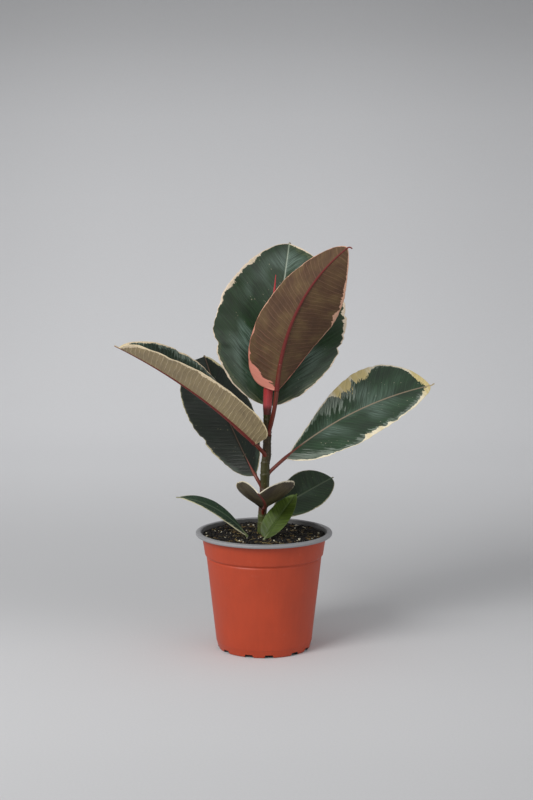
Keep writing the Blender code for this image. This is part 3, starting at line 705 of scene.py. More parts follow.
def petiole_skin(name, colour, stripe):
    """Skin of a petiole: smooth and waxy, paler along fine stripes."""
    made, tree, shader = new_material(name)
    place = add(tree, "Attribute", attribute_name="blade_mm")
    stripes = add(tree, "Mapping", {0: place.outputs["Vector"], 3: (2.2, 0.12, 1.0)})
    noisy = add(tree, "TexNoise", {"Vector": stripes.outputs[0], "Scale": 1.0, "Detail": 4.0})
    share = ranged(tree, noisy.outputs[0], (0.42, 0.72), (0.0, 0.55))
    base = mixed(tree, share.outputs[0], opaque(colour), opaque(stripe))
    tree.links.new(base.outputs[2], shader.inputs["Base Color"])
    shader.inputs["Roughness"].default_value = 0.42
    bump = add(tree, "Bump", {"Strength": 0.3, "Distance": 0.2 * MM, "Height": noisy.outputs[0]})
    tree.links.new(bump.outputs[0], shader.inputs["Normal"])
    return made


# Painted light and shade on the paper, in pairs of (metres, grey): darker where the floor meets
# the curve and at the top, lighter on the near floor and the back, for how the lamps' light falls
# off across it. The metres are y + z, so that they run along the floor and go on up the back.
PAPER_RUN = (-0.4, 2.6)
PAPER_PAINTED_GREYS = ((-0.37, 0.60), (-0.26, 0.65), (-0.10, 0.69), (0.02, 0.69), (0.165, 0.60),
               (0.34, 0.64), (0.54, 0.70), (0.80, 0.86), (1.03, 0.93), (1.30, 0.90),
               (1.70, 0.81), (2.03, 0.75), (2.26, 0.68), (2.41, 0.58), (2.54, 0.46))


def seamless_paper(settings):
    """Matt paper roll: pale, with a fibre grain too fine to show more than a soft tooth, and with
    painted light and shade graded along it and dimmed towards its sides.
    """
    made, tree, shader = new_material("seamless_paper")
    place = add(tree, "TexCoord").outputs["Object"]
    tooth = add(tree, "TexNoise", {"Vector": place, "Scale": 1 / (2 * MM), "Detail": 3.0})
    tone = ranged(tree, tooth.outputs[0], (0.3, 0.7), (0.985, 1.015))
    # Painted light and shade: the paper's grey is graded from its foot to its top, for the lamps'
    # fall-off across the sweep.
    parts = add(tree, "SeparateXYZ", {0: place})
    run = maths(tree, "ADD", parts.outputs[1], parts.outputs[2])
    share = ranged(tree, run.outputs[0], (PAPER_RUN[0], PAPER_RUN[1]), (0.0, 1.0))
    painted_grades = add(tree, "ValToRGB", {0: share.outputs[0]})
    ramp = painted_grades.color_ramp
    ramp.interpolation = "B_SPLINE"
    stops = [((at - PAPER_RUN[0]) / (PAPER_RUN[1] - PAPER_RUN[0]), grey)
             for at, grey in PAPER_PAINTED_GREYS]
    for element, (position, grey) in zip((ramp.elements[0], ramp.elements[1]),
                                         (stops[0], stops[-1])):
        element.position, element.color = position, (grey, grey, grey, 1.0)
    for position, grey in stops[1:-1]:
        ramp.elements.new(position).color = (grey, grey, grey, 1.0)
    # Painted shade: the paper is dimmed a little towards both sides.
    aside = maths(tree, "ADD", parts.outputs[0], 0.08)
    off = maths(tree, "ABSOLUTE", aside.outputs[0])
    painted_side_shade = eased(tree, off.outputs[0], (0.15, 0.6), (1.0, 0.9))
    shade = maths(tree, "MULTIPLY", tone.outputs[0], painted_side_shade.outputs[0])
    greyed = toned(tree, painted_grades.outputs[0], opaque(settings.paper_colour))
    base = toned(tree, greyed.outputs[2], shade.outputs[0])
    tree.links.new(base.outputs[2], shader.inputs["Base Color"])
    shader.inputs["Roughness"].default_value = 0.9
    shader.inputs["Specular IOR Level"].default_value = 0.2
    return made


# ---------------------------------------------------------------- pot

STEP_CREASE = 0.6 * MM
POT_SEGMENTS = 192


def pot_side(settings):
    """The pot's outer side from under the lip to the foot, as (radius, height)."""
    collar_top = RIM_TOP - settings.lip_depth
    collar_bottom = collar_top - settings.collar_height
    collar_r = RIM_R - settings.lip_overhang
    step_r = collar_r - settings.collar_taper
    barrel_r = step_r - settings.step_width
    chamfer_r = barrel_r - settings.barrel_taper
    foot_r = chamfer_r - settings.chamfer_width
    return [
        (collar_r, collar_top),
        (step_r, collar_bottom),
        (barrel_r - STEP_CREASE, collar_bottom - 0.75 * settings.step_height),
        (barrel_r, collar_bottom - settings.step_height - STEP_CREASE),
        (chamfer_r, settings.chamfer_height + 0.5 * MM),
        (chamfer_r - 0.3 * MM, settings.chamfer_height),
        (foot_r + settings.foot_round, settings.foot_round),
        (foot_r, 0.0),
    ]


def set_in(settings, inset):
    """The outer side moved in by an inset with its floor raised as much, foot first."""
    side = [(r - inset, z) for r, z in pot_side(settings)]
    side[-1] = (side[-1][0], inset)
    side[-2] = (side[-2][0], inset + settings.foot_round)
    return side[::-1]


def rounded(profile, radius, steps=4):
    """The profile with each inner corner turned into an arc of about that radius."""
    made = [profile[0]]
    for before, corner, after in zip(profile, profile[1:], profile[2:]):
        a, b, c = Vector(before), Vector(corner), Vector(after)
        cut = min(radius, (a - b).length * 0.45, (c - b).length * 0.45)
        start, end = b + (a - b).normalized() * cut, b + (c - b).normalized() * cut
        for k in range(steps + 1):
            t = k / steps
            made.append(tuple(start * (1 - t) ** 2 + b * (2 * t * (1 - t)) + end * t * t))
    made.append(profile[-1])
    return made


def divided(profile, longest):
    """The profile with points added so that no stretch is longer than that."""
    made = [profile[0]]
    for (r0, z0), (r1, z1) in zip(profile, profile[1:]):
        parts = int(sqrt((r1 - r0) ** 2 + (z1 - z0) ** 2) / longest) + 1
        made += [(r0 + (r1 - r0) * k / parts, z0 + (z1 - z0) * k / parts)
                 for k in range(1, parts + 1)]
    return made


def turned(profile, segments):
    """Points and faces of a closed profile turned about Z. It starts and ends on the axis."""
    points, faces = [(0.0, 0.0, profile[0][1])], []
    for r, z in profile[1:-1]:
        points += [(r * cos(tau * k / segments), r * sin(tau * k / segments), z)
                   for k in range(segments)]
    points.append((0.0, 0.0, profile[-1][1]))
    rings = len(profile) - 2
    for k in range(segments):
        n = (k + 1) % segments
        faces.append((0, 1 + k, 1 + n))
        for i in range(rings - 1):
            a = 1 + i * segments
            faces.append((a + k, a + segments + k, a + segments + n, a + n))
        a = 1 + (rings - 1) * segments
        faces.append((a + k, len(points) - 1, a + n))
    return points, faces


SLOT_FIRST_ANGLE = -144.0
SLOT_PAIR_SPREAD = 35.0


def slot_wedges(settings):
    """Points and faces of the wedges that cut the drain slots, wider at the floor."""
    points, faces = [], []
    reach_in = pot_side(settings)[-1][0] - settings.slot_depth
    for pair in range(settings.slot_pairs):
        for place in (0.0, SLOT_PAIR_SPREAD):
            angle = radians(SLOT_FIRST_ANGLE + pair * 360.0 / settings.slot_pairs + place)
            out, side = Vector((cos(angle), sin(angle), 0)), Vector((-sin(angle), cos(angle), 0))
            first = len(points)
            for reach in (reach_in, RIM_R):
                for half, z in ((-settings.slot_width / 2, -settings.slot_height / 2),
                                (settings.slot_width / 2, -settings.slot_height / 2),
                                (settings.slot_top_width / 2, settings.slot_height),
                                (-settings.slot_top_width / 2, settings.slot_height)):
                    points.append(out * reach + side * half + Vector((0, 0, z)))
            faces.append(tuple(first + i for i in range(4)))
            faces.append(tuple(first + 7 - i for i in range(4)))
            faces += [(first + i, first + 4 + i, first + 4 + (i + 1) % 4, first + (i + 1) % 4)
                      for i in range(4)]
    return points, faces


class RUBBERPLANT_OT_pot(bpy.types.Operator):
    """Forms the nursery pot from one sheet, grey inside and terracotta outside"""

    bl_idname = "rubber_plant.pot"
    bl_label = "Form the pot"

    def execute(self, context):
        settings = context.scene.plant_pot
        lip_in, edge = RIM_R - settings.lip_width, settings.lip_round
        depth = settings.lip_depth
        lip = [
            (lip_in, RIM_TOP - edge),
            (lip_in + 0.5 * edge, RIM_TOP - 0.2 * edge),
            (lip_in + 1.4 * edge, RIM_TOP),
            (RIM_R - 1.4 * edge, RIM_TOP - 0.25 * edge),
            (RIM_R - 0.4 * edge, RIM_TOP - 0.6 * edge),
            (RIM_R, RIM_TOP - 0.4 * depth),
            (RIM_R - 0.1 * edge, RIM_TOP - 0.8 * depth),
            (RIM_R - 0.7 * edge, RIM_TOP - depth),
        ]
        inside = [(0.0, settings.wall)] + set_in(settings, settings.wall)
        outside = pot_side(settings) + [(0.0, 0.0)]
        profile = divided(rounded(inside + lip + outside, 0.4 * MM), 4 * MM)
        points, faces = turned(profile, POT_SEGMENTS)
        # A thin warm-formed wall is never quite round.
        points = [Vector(p) * (1 + 0.0022 * noise.noise(Vector(p) * 22.0) * (p[2] > 8 * MM))
                  for p in points]
        pot = add_piece("thermoformed_pot", points, faces, "pot")
        outward(pot)
        wedges = bpy.data.meshes.new("slot_wedges")
        corners, sides = slot_wedges(settings)
        wedges.from_pydata(corners, [], sides)
        cutter = bpy.data.objects.new("slot_wedges", wedges)
        context.scene.collection.objects.link(cutter)
        outward(cutter)
        cut = pot.modifiers.new("drain_slots", "BOOLEAN")
        cut.solver, cut.operation, cut.object = "EXACT", "DIFFERENCE", cutter
        graph = context.evaluated_depsgraph_get()
        pot.data = bpy.data.meshes.new_from_object(pot.evaluated_get(graph))
        pot.modifiers.clear()
        bpy.data.objects.remove(cutter)
        if len(pot.data.polygons) < len(faces) / 2:
            raise RuntimeError("the drain slots removed the pot")
        pot.data.materials.clear()
        pot.data.materials.append(thermoformed_polypropylene(
            "thermoformed_polypropylene_terracotta", settings.outer_colour, 0.05))
        pot.data.materials.append(thermoformed_polypropylene(
            "thermoformed_polypropylene_grey", settings.inner_colour, 0.10))
        # Painted shade: the third material turns the inner wall above the mix nearly black, for the
        # shade in the recess under the lip.
        pot.data.materials.append(thermoformed_polypropylene(
            "inner_shade_polypropylene", settings.inner_colour, 0.10, RIM_TOP + 0.4 * MM))
        collar_top = RIM_TOP - settings.lip_depth
        for face in pot.data.polygons:
            middle = face.center
            out = Vector((middle.x, middle.y, 0.0)).normalized()
            inner = face.normal.dot(out) < -0.05 or (
                face.normal.z > 0.5 and middle.z < 2 * settings.wall)
            lip_face = middle.z > collar_top + 0.05 * MM
            # Inner faces below the lip take the painted shade.
            shaded_inside = inner and middle.z < RIM_TOP - 0.2 * settings.lip_depth
            face.material_index = 2 if shaded_inside else 1 if inner or lip_face else 0
            face.use_smooth = True
        pot.data.set_sharp_from_angle(angle=radians(50))
        return {"FINISHED"}


# ---------------------------------------------------------------- potting mix

MIX_SEGMENTS = 200
BARE_RING = 5.2 * MM       # no loose grain lies nearer than this to the stem's centre line
FIBRE_INSET = 9.0 * MM     # a fibre stays this far in from the rim's outer edge
FIBRE_POINTS = 8


def fill_top(context):
    return RIM_TOP - context.scene.plant_mix.fill_depth


def mix_height(context, x, y):
    """Height of the mix's surface, with its clods, at a place in the pot."""
    settings = context.scene.plant_mix
    reach = sqrt(x * x + y * y) / (RIM_R - settings.fill_depth)
    place = Vector((x, y, 0.0))
    clods = 0.9 * noise.noise(place * 110) + 0.5 * noise.noise(place * 260)
    clods += 0.35 * noise.noise(place * 620)
    return fill_top(context) + settings.mound * (1 - reach * reach) + 1.0 * MM * clods


def crumb(random, centre, size, flat):
    """Points and faces of one broken lump."""
    base = bmesh.new()
    bmesh.ops.create_icosphere(base, subdivisions=2, radius=0.5)
    turn = Vector((random.uniform(-1, 1), random.uniform(-1, 1), random.uniform(-1, 1)))
    stretch = Vector((random.uniform(0.7, 1.3), random.uniform(0.6, 1.1), flat))
    seed = Vector((random.uniform(0, 90), random.uniform(0, 90), 0))
    spin = turn.to_track_quat("Z", "Y") if flat > 0.7 else Vector(
        (0.3 * turn.x, 0.3 * turn.y, 1)).to_track_quat("Z", "Y")
    points = []
    for vertex in base.verts:
        rough = 1 + 0.55 * noise.noise(vertex.co * 2.3 + seed) + 0.2 * noise.noise(
            vertex.co * 6.0 + seed)
        shaped = Vector(a * b for a, b in zip(vertex.co, stretch)) * (size * rough)
        shaped.rotate(spin)
        points.append(centre + shaped)
    faces = [tuple(v.index for v in face.verts) for face in base.faces]
    base.free()
    return points, faces


def scatter(context, name, count, seed, make, material, clear):
    """Many small pieces of one kind on the mix, as one object with a tone for each piece."""
    random = Random(seed)
    settings = context.scene.plant_mix
    reach = RIM_R - settings.fill_depth - clear
    points, faces, tones = [], [], []
    stem = Vector((STEM[1].x, STEM[1].y)) * MM
    placed = 0
    while placed < count:
        radius, angle = reach * sqrt(random.random()), random.uniform(0, tau)
        x, y = radius * cos(angle), radius * sin(angle)
        if (Vector((x, y)) - stem).length < BARE_RING:
            continue
        placed += 1
        new_points, new_faces = make(random, Vector((x, y, mix_height(context, x, y))))
        tone = random.random()
        faces += [tuple(i + len(points) for i in face) for face in new_faces]
        points += new_points
        tones += [tone] * len(new_points)
    piece = add_piece(name, points, faces, "potting_mix")
    on_points(piece, "grain_tone", "FLOAT", tones)
    piece.data.materials.append(material)


class RUBBERPLANT_OT_potting_mix(bpy.types.Operator):
    """Fills the pot with potting mix and scatters its crumbs, bark, perlite and fibres"""

    bl_idname = "rubber_plant.potting_mix"
    bl_label = "Fill in the potting mix"

    def execute(self, context):
        settings = context.scene.plant_mix
        pot = context.scene.plant_pot
        level = fill_top(context)
        inner = set_in(pot, pot.wall + settings.clearance)
        side = [(r, z) for r, z in inner if z < level]
        below, above = side[-1], inner[len(side)]
        share = (level - below[1]) / (above[1] - below[1])
        edge = below[0] + share * (above[0] - below[0])
        top = [(edge * i / 64, level) for i in range(65)]
        profile = top + side[::-1] + [(0.0, pot.wall + settings.clearance)]
        points, faces = turned(profile, MIX_SEGMENTS)
        shaped = []
        for x, y, z in points:
            reach = sqrt(x * x + y * y) / edge
            if abs(z - level) < 1e-9 and reach < 0.995:
                z = mix_height(context, x, y)
            shaped.append((x, y, z))
        bed = add_piece("potting_mix_bed", shaped, faces, "potting_mix")
        outward(bed)
        on_points(bed, "grain_tone", "FLOAT", [0.55] * len(shaped))
        peat = loose_grain("moist_peat", linear("070605"), settings.peat_colour, 1.2, 0.9, 1.0)
        bed.data.materials.append(peat)
        size = settings.crumb

        def lump(random, place):
            width = size * random.uniform(0.45, 1.5)
            return crumb(random, place + Vector((0, 0, 0.15 * width)), width, 0.8)

        def chip(random, place):
            width = size * random.uniform(0.7, 1.9)
            return crumb(random, place + Vector((0, 0, 0.5 * MM)), width, 0.35)

        def grain(random, place):
            width = size * random.uniform(0.35, 1.0)
            return crumb(random, place + Vector((0, 0, 0.45 * width)), width, 0.8)

        def fibre(random, place):
            length, heading = random.uniform(3, 11) * MM, random.uniform(0, tau)
            bend, thick = random.uniform(-1.2, 1.2), random.uniform(0.14, 0.34) * MM
            path, point = [], place + Vector((0, 0, 0.9 * MM))
            for k in range(FIBRE_POINTS):
                path.append(point.copy())
                heading += bend / (FIBRE_POINTS - 1)
                rise = random.uniform(-0.35, 0.35)
                step = Vector((cos(heading), sin(heading), rise)) * (length / (FIBRE_POINTS - 1))
                point = point + step
                reach = Vector(point.xy).length
                if reach > RIM_R - FIBRE_INSET:
                    point *= (RIM_R - FIBRE_INSET) / reach
                    point.z = path[-1].z
                point.z = max(point.z, mix_height(context, point.x, point.y) + 0.4 * MM)
            return sweep(path, 5, lambda i, angle: thick * (1 - 0.08 * i))

        scatter(context, "peat_crumbs", settings.crumbs, 11, lump, peat, 2.2 * MM)
        bark = loose_grain("pine_bark_chips", linear("241A10"), settings.bark_colour, 1.6, 0.8, 0.4)
        scatter(context, "bark_chips", settings.chips, 12, chip, bark, 3.4 * MM)
        white = loose_grain("expanded_perlite", linear("A39C86"), settings.perlite_colour,
                            0.8, 0.85, 0.3)
        scatter(context, "perlite_grains", settings.perlite, 13, grain, white, 3.2 * MM)
        coir = loose_grain("coir_fibres", linear("2A2114"), settings.fibre_colour, 3.0, 0.7, 0.1)
        scatter(context, "coir_fibres", settings.fibres, 14, fibre, coir, 5.0 * MM)
        return {"FINISHED"}


# ---------------------------------------------------------------- stem and bud

BARE_SCARS = {28, 62, 80, 101}     # heights in mm of the rings whose leaves have gone
STEM_SIDES = 40
BUD_GAP = 0.3 * MM
BUD_SIDES = 48


def planted(x, y, z):
    """A point of the plant, in mm with its height above the potting mix, in metres."""
    return Vector((x, y, z)) * MM + Vector((0.0, 0.0, fill_top(bpy.context)))


def stem_point(height):
    """Centre line and swell of the stem at a height above the potting mix, in mm."""
    x = smooth_between([(p.z, p.x) for p in STEM], height)
    y = smooth_between([(p.z, p.y) for p in STEM], height)
    return planted(x, y, height), between([(p.z, p.swell) for p in STEM], height)


class RUBBERPLANT_OT_stem(bpy.types.Operator):
    """Grows the stem with a raised scar ring over each leaf"""

    bl_idname = "rubber_plant.stem"
    bl_label = "Grow the stem"

    def execute(self, context):
        settings = context.scene.plant_stem
        scars = sorted({leaf.node for leaf in LEAVES if leaf.name not in BASAL} | BARE_SCARS)
        low, high = STEM[0].z, STEM[-1].z
        steps = int((high - low) / 0.7)
        heights = [low + (high - low) * i / steps for i in range(steps + 1)]
        path = [stem_point(height)[0] for height in heights]

        def radius(i, angle):
            height = heights[i]
            tilt = 0.7 * sin(angle + height * 0.1)
            ring = sum(exp(-((height + tilt - scar - 2.2) / 0.55) ** 2)
                       - 0.5 * exp(-((height + tilt - scar - 3.6) / 0.8) ** 2) for scar in scars)
            place = Vector((cos(angle), sin(angle), height * 0.12))
            knobs = 0.035 * noise.noise(place * 1.3) + 0.02 * noise.noise(place * 4)
            swell = stem_point(height)[1] * (1 + knobs)
            return settings.radius * swell * 0.985 + settings.ring * 0.6 * ring

        points, faces = sweep(path, STEM_SIDES, radius)
        stem = add_piece("fig_stem", points, faces, "stem")
        stem.data.materials.append(young_bark(settings))
        stem.data.set_sharp_from_angle(angle=radians(60))
        return {"FINISHED"}


class RUBBERPLANT_OT_bud_sheath(bpy.types.Operator):
    """Rolls the red sheath round the bud at the stem's end"""

    bl_idname = "rubber_plant.bud_sheath"
    bl_label = "Roll the bud's sheath"

    def execute(self, context):
        settings = context.scene.plant_bud
        foot = stem_point(STEM[-1].z)[0] + Vector((0.0, 0.0, BUD_GAP))
        sizes = ((0.0, 0.86), (0.06, 1.0), (0.16, 1.0), (0.35, 0.84), (0.6, 0.56), (0.85, 0.24),
                 (1.0, 0.0))
        steps = 150
        path = []
        for i in range(steps + 1):
            share = i / steps
            lean = share ** 1.3
            path.append(foot + Vector((settings.lean_x * lean, 0.6 * MM * lean,
                                       settings.length * share)))
        slack = settings.base_radius - settings.tip_radius

        def radius(i, angle):
            share = i / steps
            size = smooth_between(sizes, share)
            # The roll's free edge winds once and a half round the bud.
            past_edge = ((angle - 1.5 * tau * share - 4.0) % tau) / tau
            overlap = 0.07 * (1 - past_edge) * size
            facet = 0.03 * cos(3 * angle + 2 * share) * (share < 0.3)
            return (settings.tip_radius + slack * size) * (0.95 + overlap + facet)

        points, faces = sweep(path, BUD_SIDES, radius)
        bud = add_piece("rolled_bud_sheath", points, faces, "bud_sheath")
        on_points(bud, "along", "FLOAT", [i // BUD_SIDES / steps for i in range(len(points))])
        bud.data.materials.append(rolled_stipule(settings))
        bud.data.set_sharp_from_angle(angle=radians(60))
        return {"FINISHED"}


# ---------------------------------------------------------------- leaves

def half_width(leaf, s, hand):
    """Half the blade's width at a share s of its length."""
    bend = log(0.5) / log(leaf.widest + hand * leaf.skew)
    along = min(max(s / (1.0 - DRIP_TIP_SHARE), 0.0), 1.0)
    oval = max(sin(pi * along ** bend), 0.0) ** (leaf.fullness * (1 + hand * leaf.pointed))
    least = BLADE_FOOT_HALF_WIDTH if s < 0.5 else DRIP_TIP_HALF_WIDTH * (1.3 - s) / 0.33
    return max(leaf.width / 2 * MM * oval, least)


def direction(leaf, s):
    """The way the midrib runs at a share of its length, with its level side direction."""
    azimuth = radians(leaf.azimuth + leaf.sweep * s)
    curl = DRIP_TIP_CURL.get(leaf.name, 0.0) * max(0.0, s - 1 + DRIP_TIP_SHARE) / DRIP_TIP_SHARE
    rise = radians(leaf.rise - leaf.droop * s - curl)
    tangent = Vector((cos(rise) * cos(azimuth), cos(rise) * sin(azimuth), sin(rise)))
    return tangent, Vector((-sin(azimuth), cos(azimuth), 0.0))


Station = namedtuple("Station", "s point tangent side up")


def midrib(leaf):
    """Stations along the midrib, closer together at its ends."""
    stations = []
    point, before = planted(*leaf.base), 0.0
    for i in range(leaf.rows + 1):
        u = i / leaf.rows
        s = u - ROW_CROWDING * sin(tau * u) / tau
        for k in range(RIB_SUBSTEPS):
            middle = before + (s - before) * (k + 0.5) / RIB_SUBSTEPS
            point += direction(leaf, middle)[0] * (leaf.length * MM * (s - before) / RIB_SUBSTEPS)
        before = s
        tangent, level = direction(leaf, s)
        normal = tangent.cross(level)
        roll = radians(leaf.roll + leaf.twist * s)
        side = level * cos(roll) + normal * sin(roll)
        up = normal * cos(roll) - level * sin(roll)
        stations.append(Station(s, point.copy(), tangent, side, up))
    return stations


def rib_radius(leaf, s):
    return leaf.petiole_r * MM * (1 - (1 - RIB_TIP_RADIUS_SHARE) * s ** 0.8)


def uneven_margin(number, hand, s, ragged):
    """How the margin's outline wanders, as a share of the width: waves and a few small nicks."""
    place = Vector((s * 9.0, number * 7.3, hand * 3.1))
    waves = 0.020 * noise.noise(place) + 0.014 * noise.noise(place * 3.3)
    waves += 0.010 * noise.noise(place * 7.1)
    nick = max(0.0, noise.noise(place * 2.1 + Vector((5, 5, 5))) - 0.30)
    return ragged * (waves - 0.14 * nick)


def blade_half(leaf, number, look, station, hand, sizes):
    """One half of a row across the blade: places of its upper and lower points, with what the
    materials need at each."""
    s = station.s
    rib = rib_radius(leaf, s)
    taper = min(1.0, s * 12, (1 - s) * 12)
    half = half_width(leaf, s, hand) * (1 + uneven_margin(number, hand, s, look.ragged) * taper)
    core = min(rib, 0.35 * half)
    inner = [core * k for k in RIB_COLUMNS]
    outer = [inner[-1] + (half - inner[-1]) * (1 - (1 - k / OUTER_COLUMNS) ** 1.3)
             for k in range(1, OUTER_COLUMNS + 1)]
    fold = leaf.fold + (leaf.fold_tip - leaf.fold) * s
    length = leaf.length * MM
    cream = between(look.cream_left if hand > 0 else look.cream_right, s)
    pale = between(look.pale_left if hand > 0 else look.pale_right, s)
    drift = Vector((s * length / MM * 0.10, number * 11.0, hand * 5.0))
    cream *= 1 + 0.9 * noise.noise(drift * 1.7) + 0.5 * noise.noise(drift * 5.0)
    pale *= 1 + 0.7 * noise.noise(drift)
    wave = look.ripple * MM * (noise.noise(Vector((s * length / (26 * MM), number * 3.7, hand)))
                               + 0.5 * noise.noise(Vector((s * length / (9 * MM), number, hand))))
    made = []
    across = lift = before = 0.0
    for x in inner + outer:
        share = x / half
        middle = (x + before) / 2 / half
        angle = radians(fold + leaf.cup * middle)
        across += (x - before) * cos(angle)
        lift += (x - before) * sin(angle)
        before = x
        angle = radians(fold + leaf.cup * share)
        out = station.side * hand
        normal = station.up * cos(angle) - out * sin(angle)
        run = s * length - look.lean * x
        cycle = cos(tau * run / sizes.vein_spacing)
        quilt = sizes.quilting * 0.5 * (0.5 - 0.5 * cycle) * sin(pi * min(share, 1.0)) * taper
        groove = sizes.groove * exp(-(x / (0.75 * MM)) ** 2) * taper
        thin = sqrt(max(0.0, 1 - share ** 10)) * 0.8 + 0.2
        body = sizes.thickness / 2 * thin
        ridge = rib * RIB_RIDGE_SHARE * sqrt(max(0.0, 1 - (x / rib) ** 2)) if x < rib else 0.0
        middle_point = (station.point + out * across + station.up * lift
                        + normal * (quilt + wave * share ** 3 * taper))
        upper = middle_point + normal * (body - groove)
        lower = middle_point - normal * (body + ridge)
        facts = (hand * x / MM, s * length / MM, (half - x) / MM, max(cream, 0.15),
                 max(pale, 0.0), rib / MM)
        made.append((upper, lower, facts))
    return made


def blade_mesh(leaf, number, look, stations, sizes):
    """The blade as one closed sheet: points, faces with a material number, and point facts."""
    rows = []
    for station in stations:
        right = blade_half(leaf, number, look, station, -1, sizes)
        left = blade_half(leaf, number, look, station, 1, sizes)
        rib = rib_radius(leaf, station.s)
        taper = min(1.0, station.s * 12, (1 - station.s) * 12)
        body = sizes.thickness / 2
        top = station.point + station.up * (body - sizes.groove * taper)
        bottom = station.point - station.up * (body + rib * RIB_RIDGE_SHARE)
        middle = (0.0, station.s * leaf.length, half_width(leaf, station.s, 1) / MM,
                  left[0][2][3], left[0][2][4], rib / MM)
        rows.append(right[::-1] + [(top, bottom, middle)] + left)
    width = len(rows[0])
    points, facts = [], []
    for row in rows:
        points += [p[0] for p in row] + [p[1] for p in row]
        facts += [p[2] for p in row] * 2
    faces = []
    for i in range(len(rows) - 1):
        a, b = i * 2 * width, (i + 1) * 2 * width
        for j in range(width - 1):
            faces.append(((a + j + 1, a + j, b + j, b + j + 1), 0))
            c, d = a + width, b + width
            faces.append(((c + j, c + j + 1, d + j + 1, d + j), 1))
        faces.append(((a, a + width, b + width, b), 0))
        faces.append(((a + 2 * width - 1, a + width - 1, b + width - 1, b + 2 * width - 1), 0))
    for i in (0, len(rows) - 1):
        a = i * 2 * width
        for j in range(width - 1):
            strip = (a + j, a + j + 1, a + width + j + 1, a + width + j)
            faces.append((strip if i == 0 else strip[::-1], 1))
    return points, faces, facts


def petiole_rod(leaf, stations, stem_radius):
    """The petiole, from inside the stem's bark to where the midrib's ridge takes over."""
    first = stations[0]
    if leaf.name in BASAL:
        start = first.point - first.tangent * BASAL_PETIOLE_DEPTH
    else:
        start = stem_point(leaf.node)[0]
    reach = (first.point - start).length
    bend = first.point - first.tangent * (reach * 0.45)
    radius = leaf.petiole_r * MM
    path, radii = [], []
    for i in range(PETIOLE_STEPS * 2):
        t = i / (PETIOLE_STEPS * 2)
        point = start * (1 - t) ** 2 + bend * (2 * t * (1 - t)) + first.point * t * t
        gone = (point - start).length
        if leaf.name not in BASAL and gone < 0.55 * stem_radius:
            continue
        path.append(point)
        near = max(0.0, 1 - (gone - stem_radius) / (4 * MM))
        radii.append(radius * (1 + (0.35 * near * near if leaf.name not in BASAL else 0)))
    for station in stations:
        if station.s > PETIOLE_END_SHARE:
            break
        size = radius * (1 - 2.0 * station.s)
        drop = size * RIB_DROP_SHARE * min(1.0, station.s * 8)
        drop += size * 0.5 * station.s / PETIOLE_END_SHARE
        path.append(station.point - station.up * drop)
        radii.append(size)
    return sweep(path, PETIOLE_SIDES, lambda i, angle: radii[i])


class RUBBERPLANT_OT_leaves(bpy.types.Operator):
    """Grows the nine leaves, each blade with its midrib and petiole in one piece"""

    bl_idname = "rubber_plant.leaves"
    bl_label = "Grow the leaves"

    def execute(self, context):
        sizes = context.scene.plant_leaf
        stem_radius = context.scene.plant_stem.radius
        grown = petiole_skin("waxy_red_petiole", sizes.rib_colour, linear("7A5838"))
        young = petiole_skin("waxy_green_petiole", sizes.young_colour, linear("8A8A62"))
        for number, leaf in enumerate(LEAVES):
            look = LOOKS[leaf.name]
            stations = midrib(leaf)
            points, faces, facts = blade_mesh(leaf, number, look, stations, sizes)
            rod_points, rod_faces = petiole_rod(leaf, stations, stem_radius)
            first = len(points)
            blade_faces = len(faces)
            all_faces = [face for face, _ in faces]
            all_faces += [tuple(i + first for i in face) for face in rod_faces]
            piece = add_piece(leaf.name + "_grown", points + rod_points, all_faces,
                              leaf.name)
            facts += [(i % PETIOLE_SIDES * 0.6, -(i // PETIOLE_SIDES) * 1.0, 9.0, 0.2, 0.0,
                       leaf.petiole_r) for i in range(len(rod_points))]
            on_points(piece, "blade_mm", "FLOAT_VECTOR",
                      [(f[0], f[1], number * 37.0) for f in facts])
            for place, name in ((2, "edge_mm"), (3, "cream_mm"), (4, "pale_mm"), (5, "rib_mm")):
                on_points(piece, name, "FLOAT", [f[place] for f in facts])
            piece.data.materials.append(upper_side("waxy_upper_" + leaf.name, sizes, look))
            piece.data.materials.append(under_side("felty_under_" + leaf.name, sizes, look,
                                                   leaf.name in BASAL))
            piece.data.materials.append(young if leaf.name in BASAL else grown)
            slots = [slot for _, slot in faces] + [2] * len(rod_faces)
            piece.data.polygons.foreach_set("material_index", slots)
            if len(piece.data.polygons) != blade_faces + len(rod_faces):
                raise RuntimeError(f"{leaf.name} lost faces")
        return {"FINISHED"}


# ---------------------------------------------------------------- stage

# The sweep of paper and the soft lamps, in metres.
SWEEP_FRONT = -2.6
SWEEP_BACK = 1.9
SWEEP_BEND = 0.9
SWEEP_TOP = 3.2
SWEEP_HALF_WIDTH = 2.6
SWEEP_STEPS = 20
LAMP_AIM = (0.0, 0.0, 0.2)
KEY_PLACE = (-1.20, -1.37, 1.35)
KEY_SIZE = 1.10
KEY_TINT = (1.0, 0.99, 0.97)
FILL_PLACE = (1.6, -1.3, 0.9)
FILL_SIZE = 1.4
WHITE = (1.0, 1.0, 1.0)

# The camera stands in front of the plant, above it, and looks down by its tilt in degrees.
CAMERA_PLACE = (2.15 * MM, -1627.3 * MM, 454.9 * MM)
CAMERA_TILT = 8.2
SENSOR_WIDTH_MM = 36.0


def soft_lamp(name, place, aim, size, power, colour):
    lamp = bpy.data.lights.new(name, "AREA")
    lamp.shape, lamp.size, lamp.energy, lamp.color = "DISK", size, power, colour
    holder = bpy.data.objects.new(name, lamp)
    bpy.context.scene.collection.objects.link(holder)
    holder.location = place
    holder.rotation_mode = "QUATERNION"
    holder.rotation_quaternion = (Vector(aim) - Vector(place)).to_track_quat("-Z", "Y")


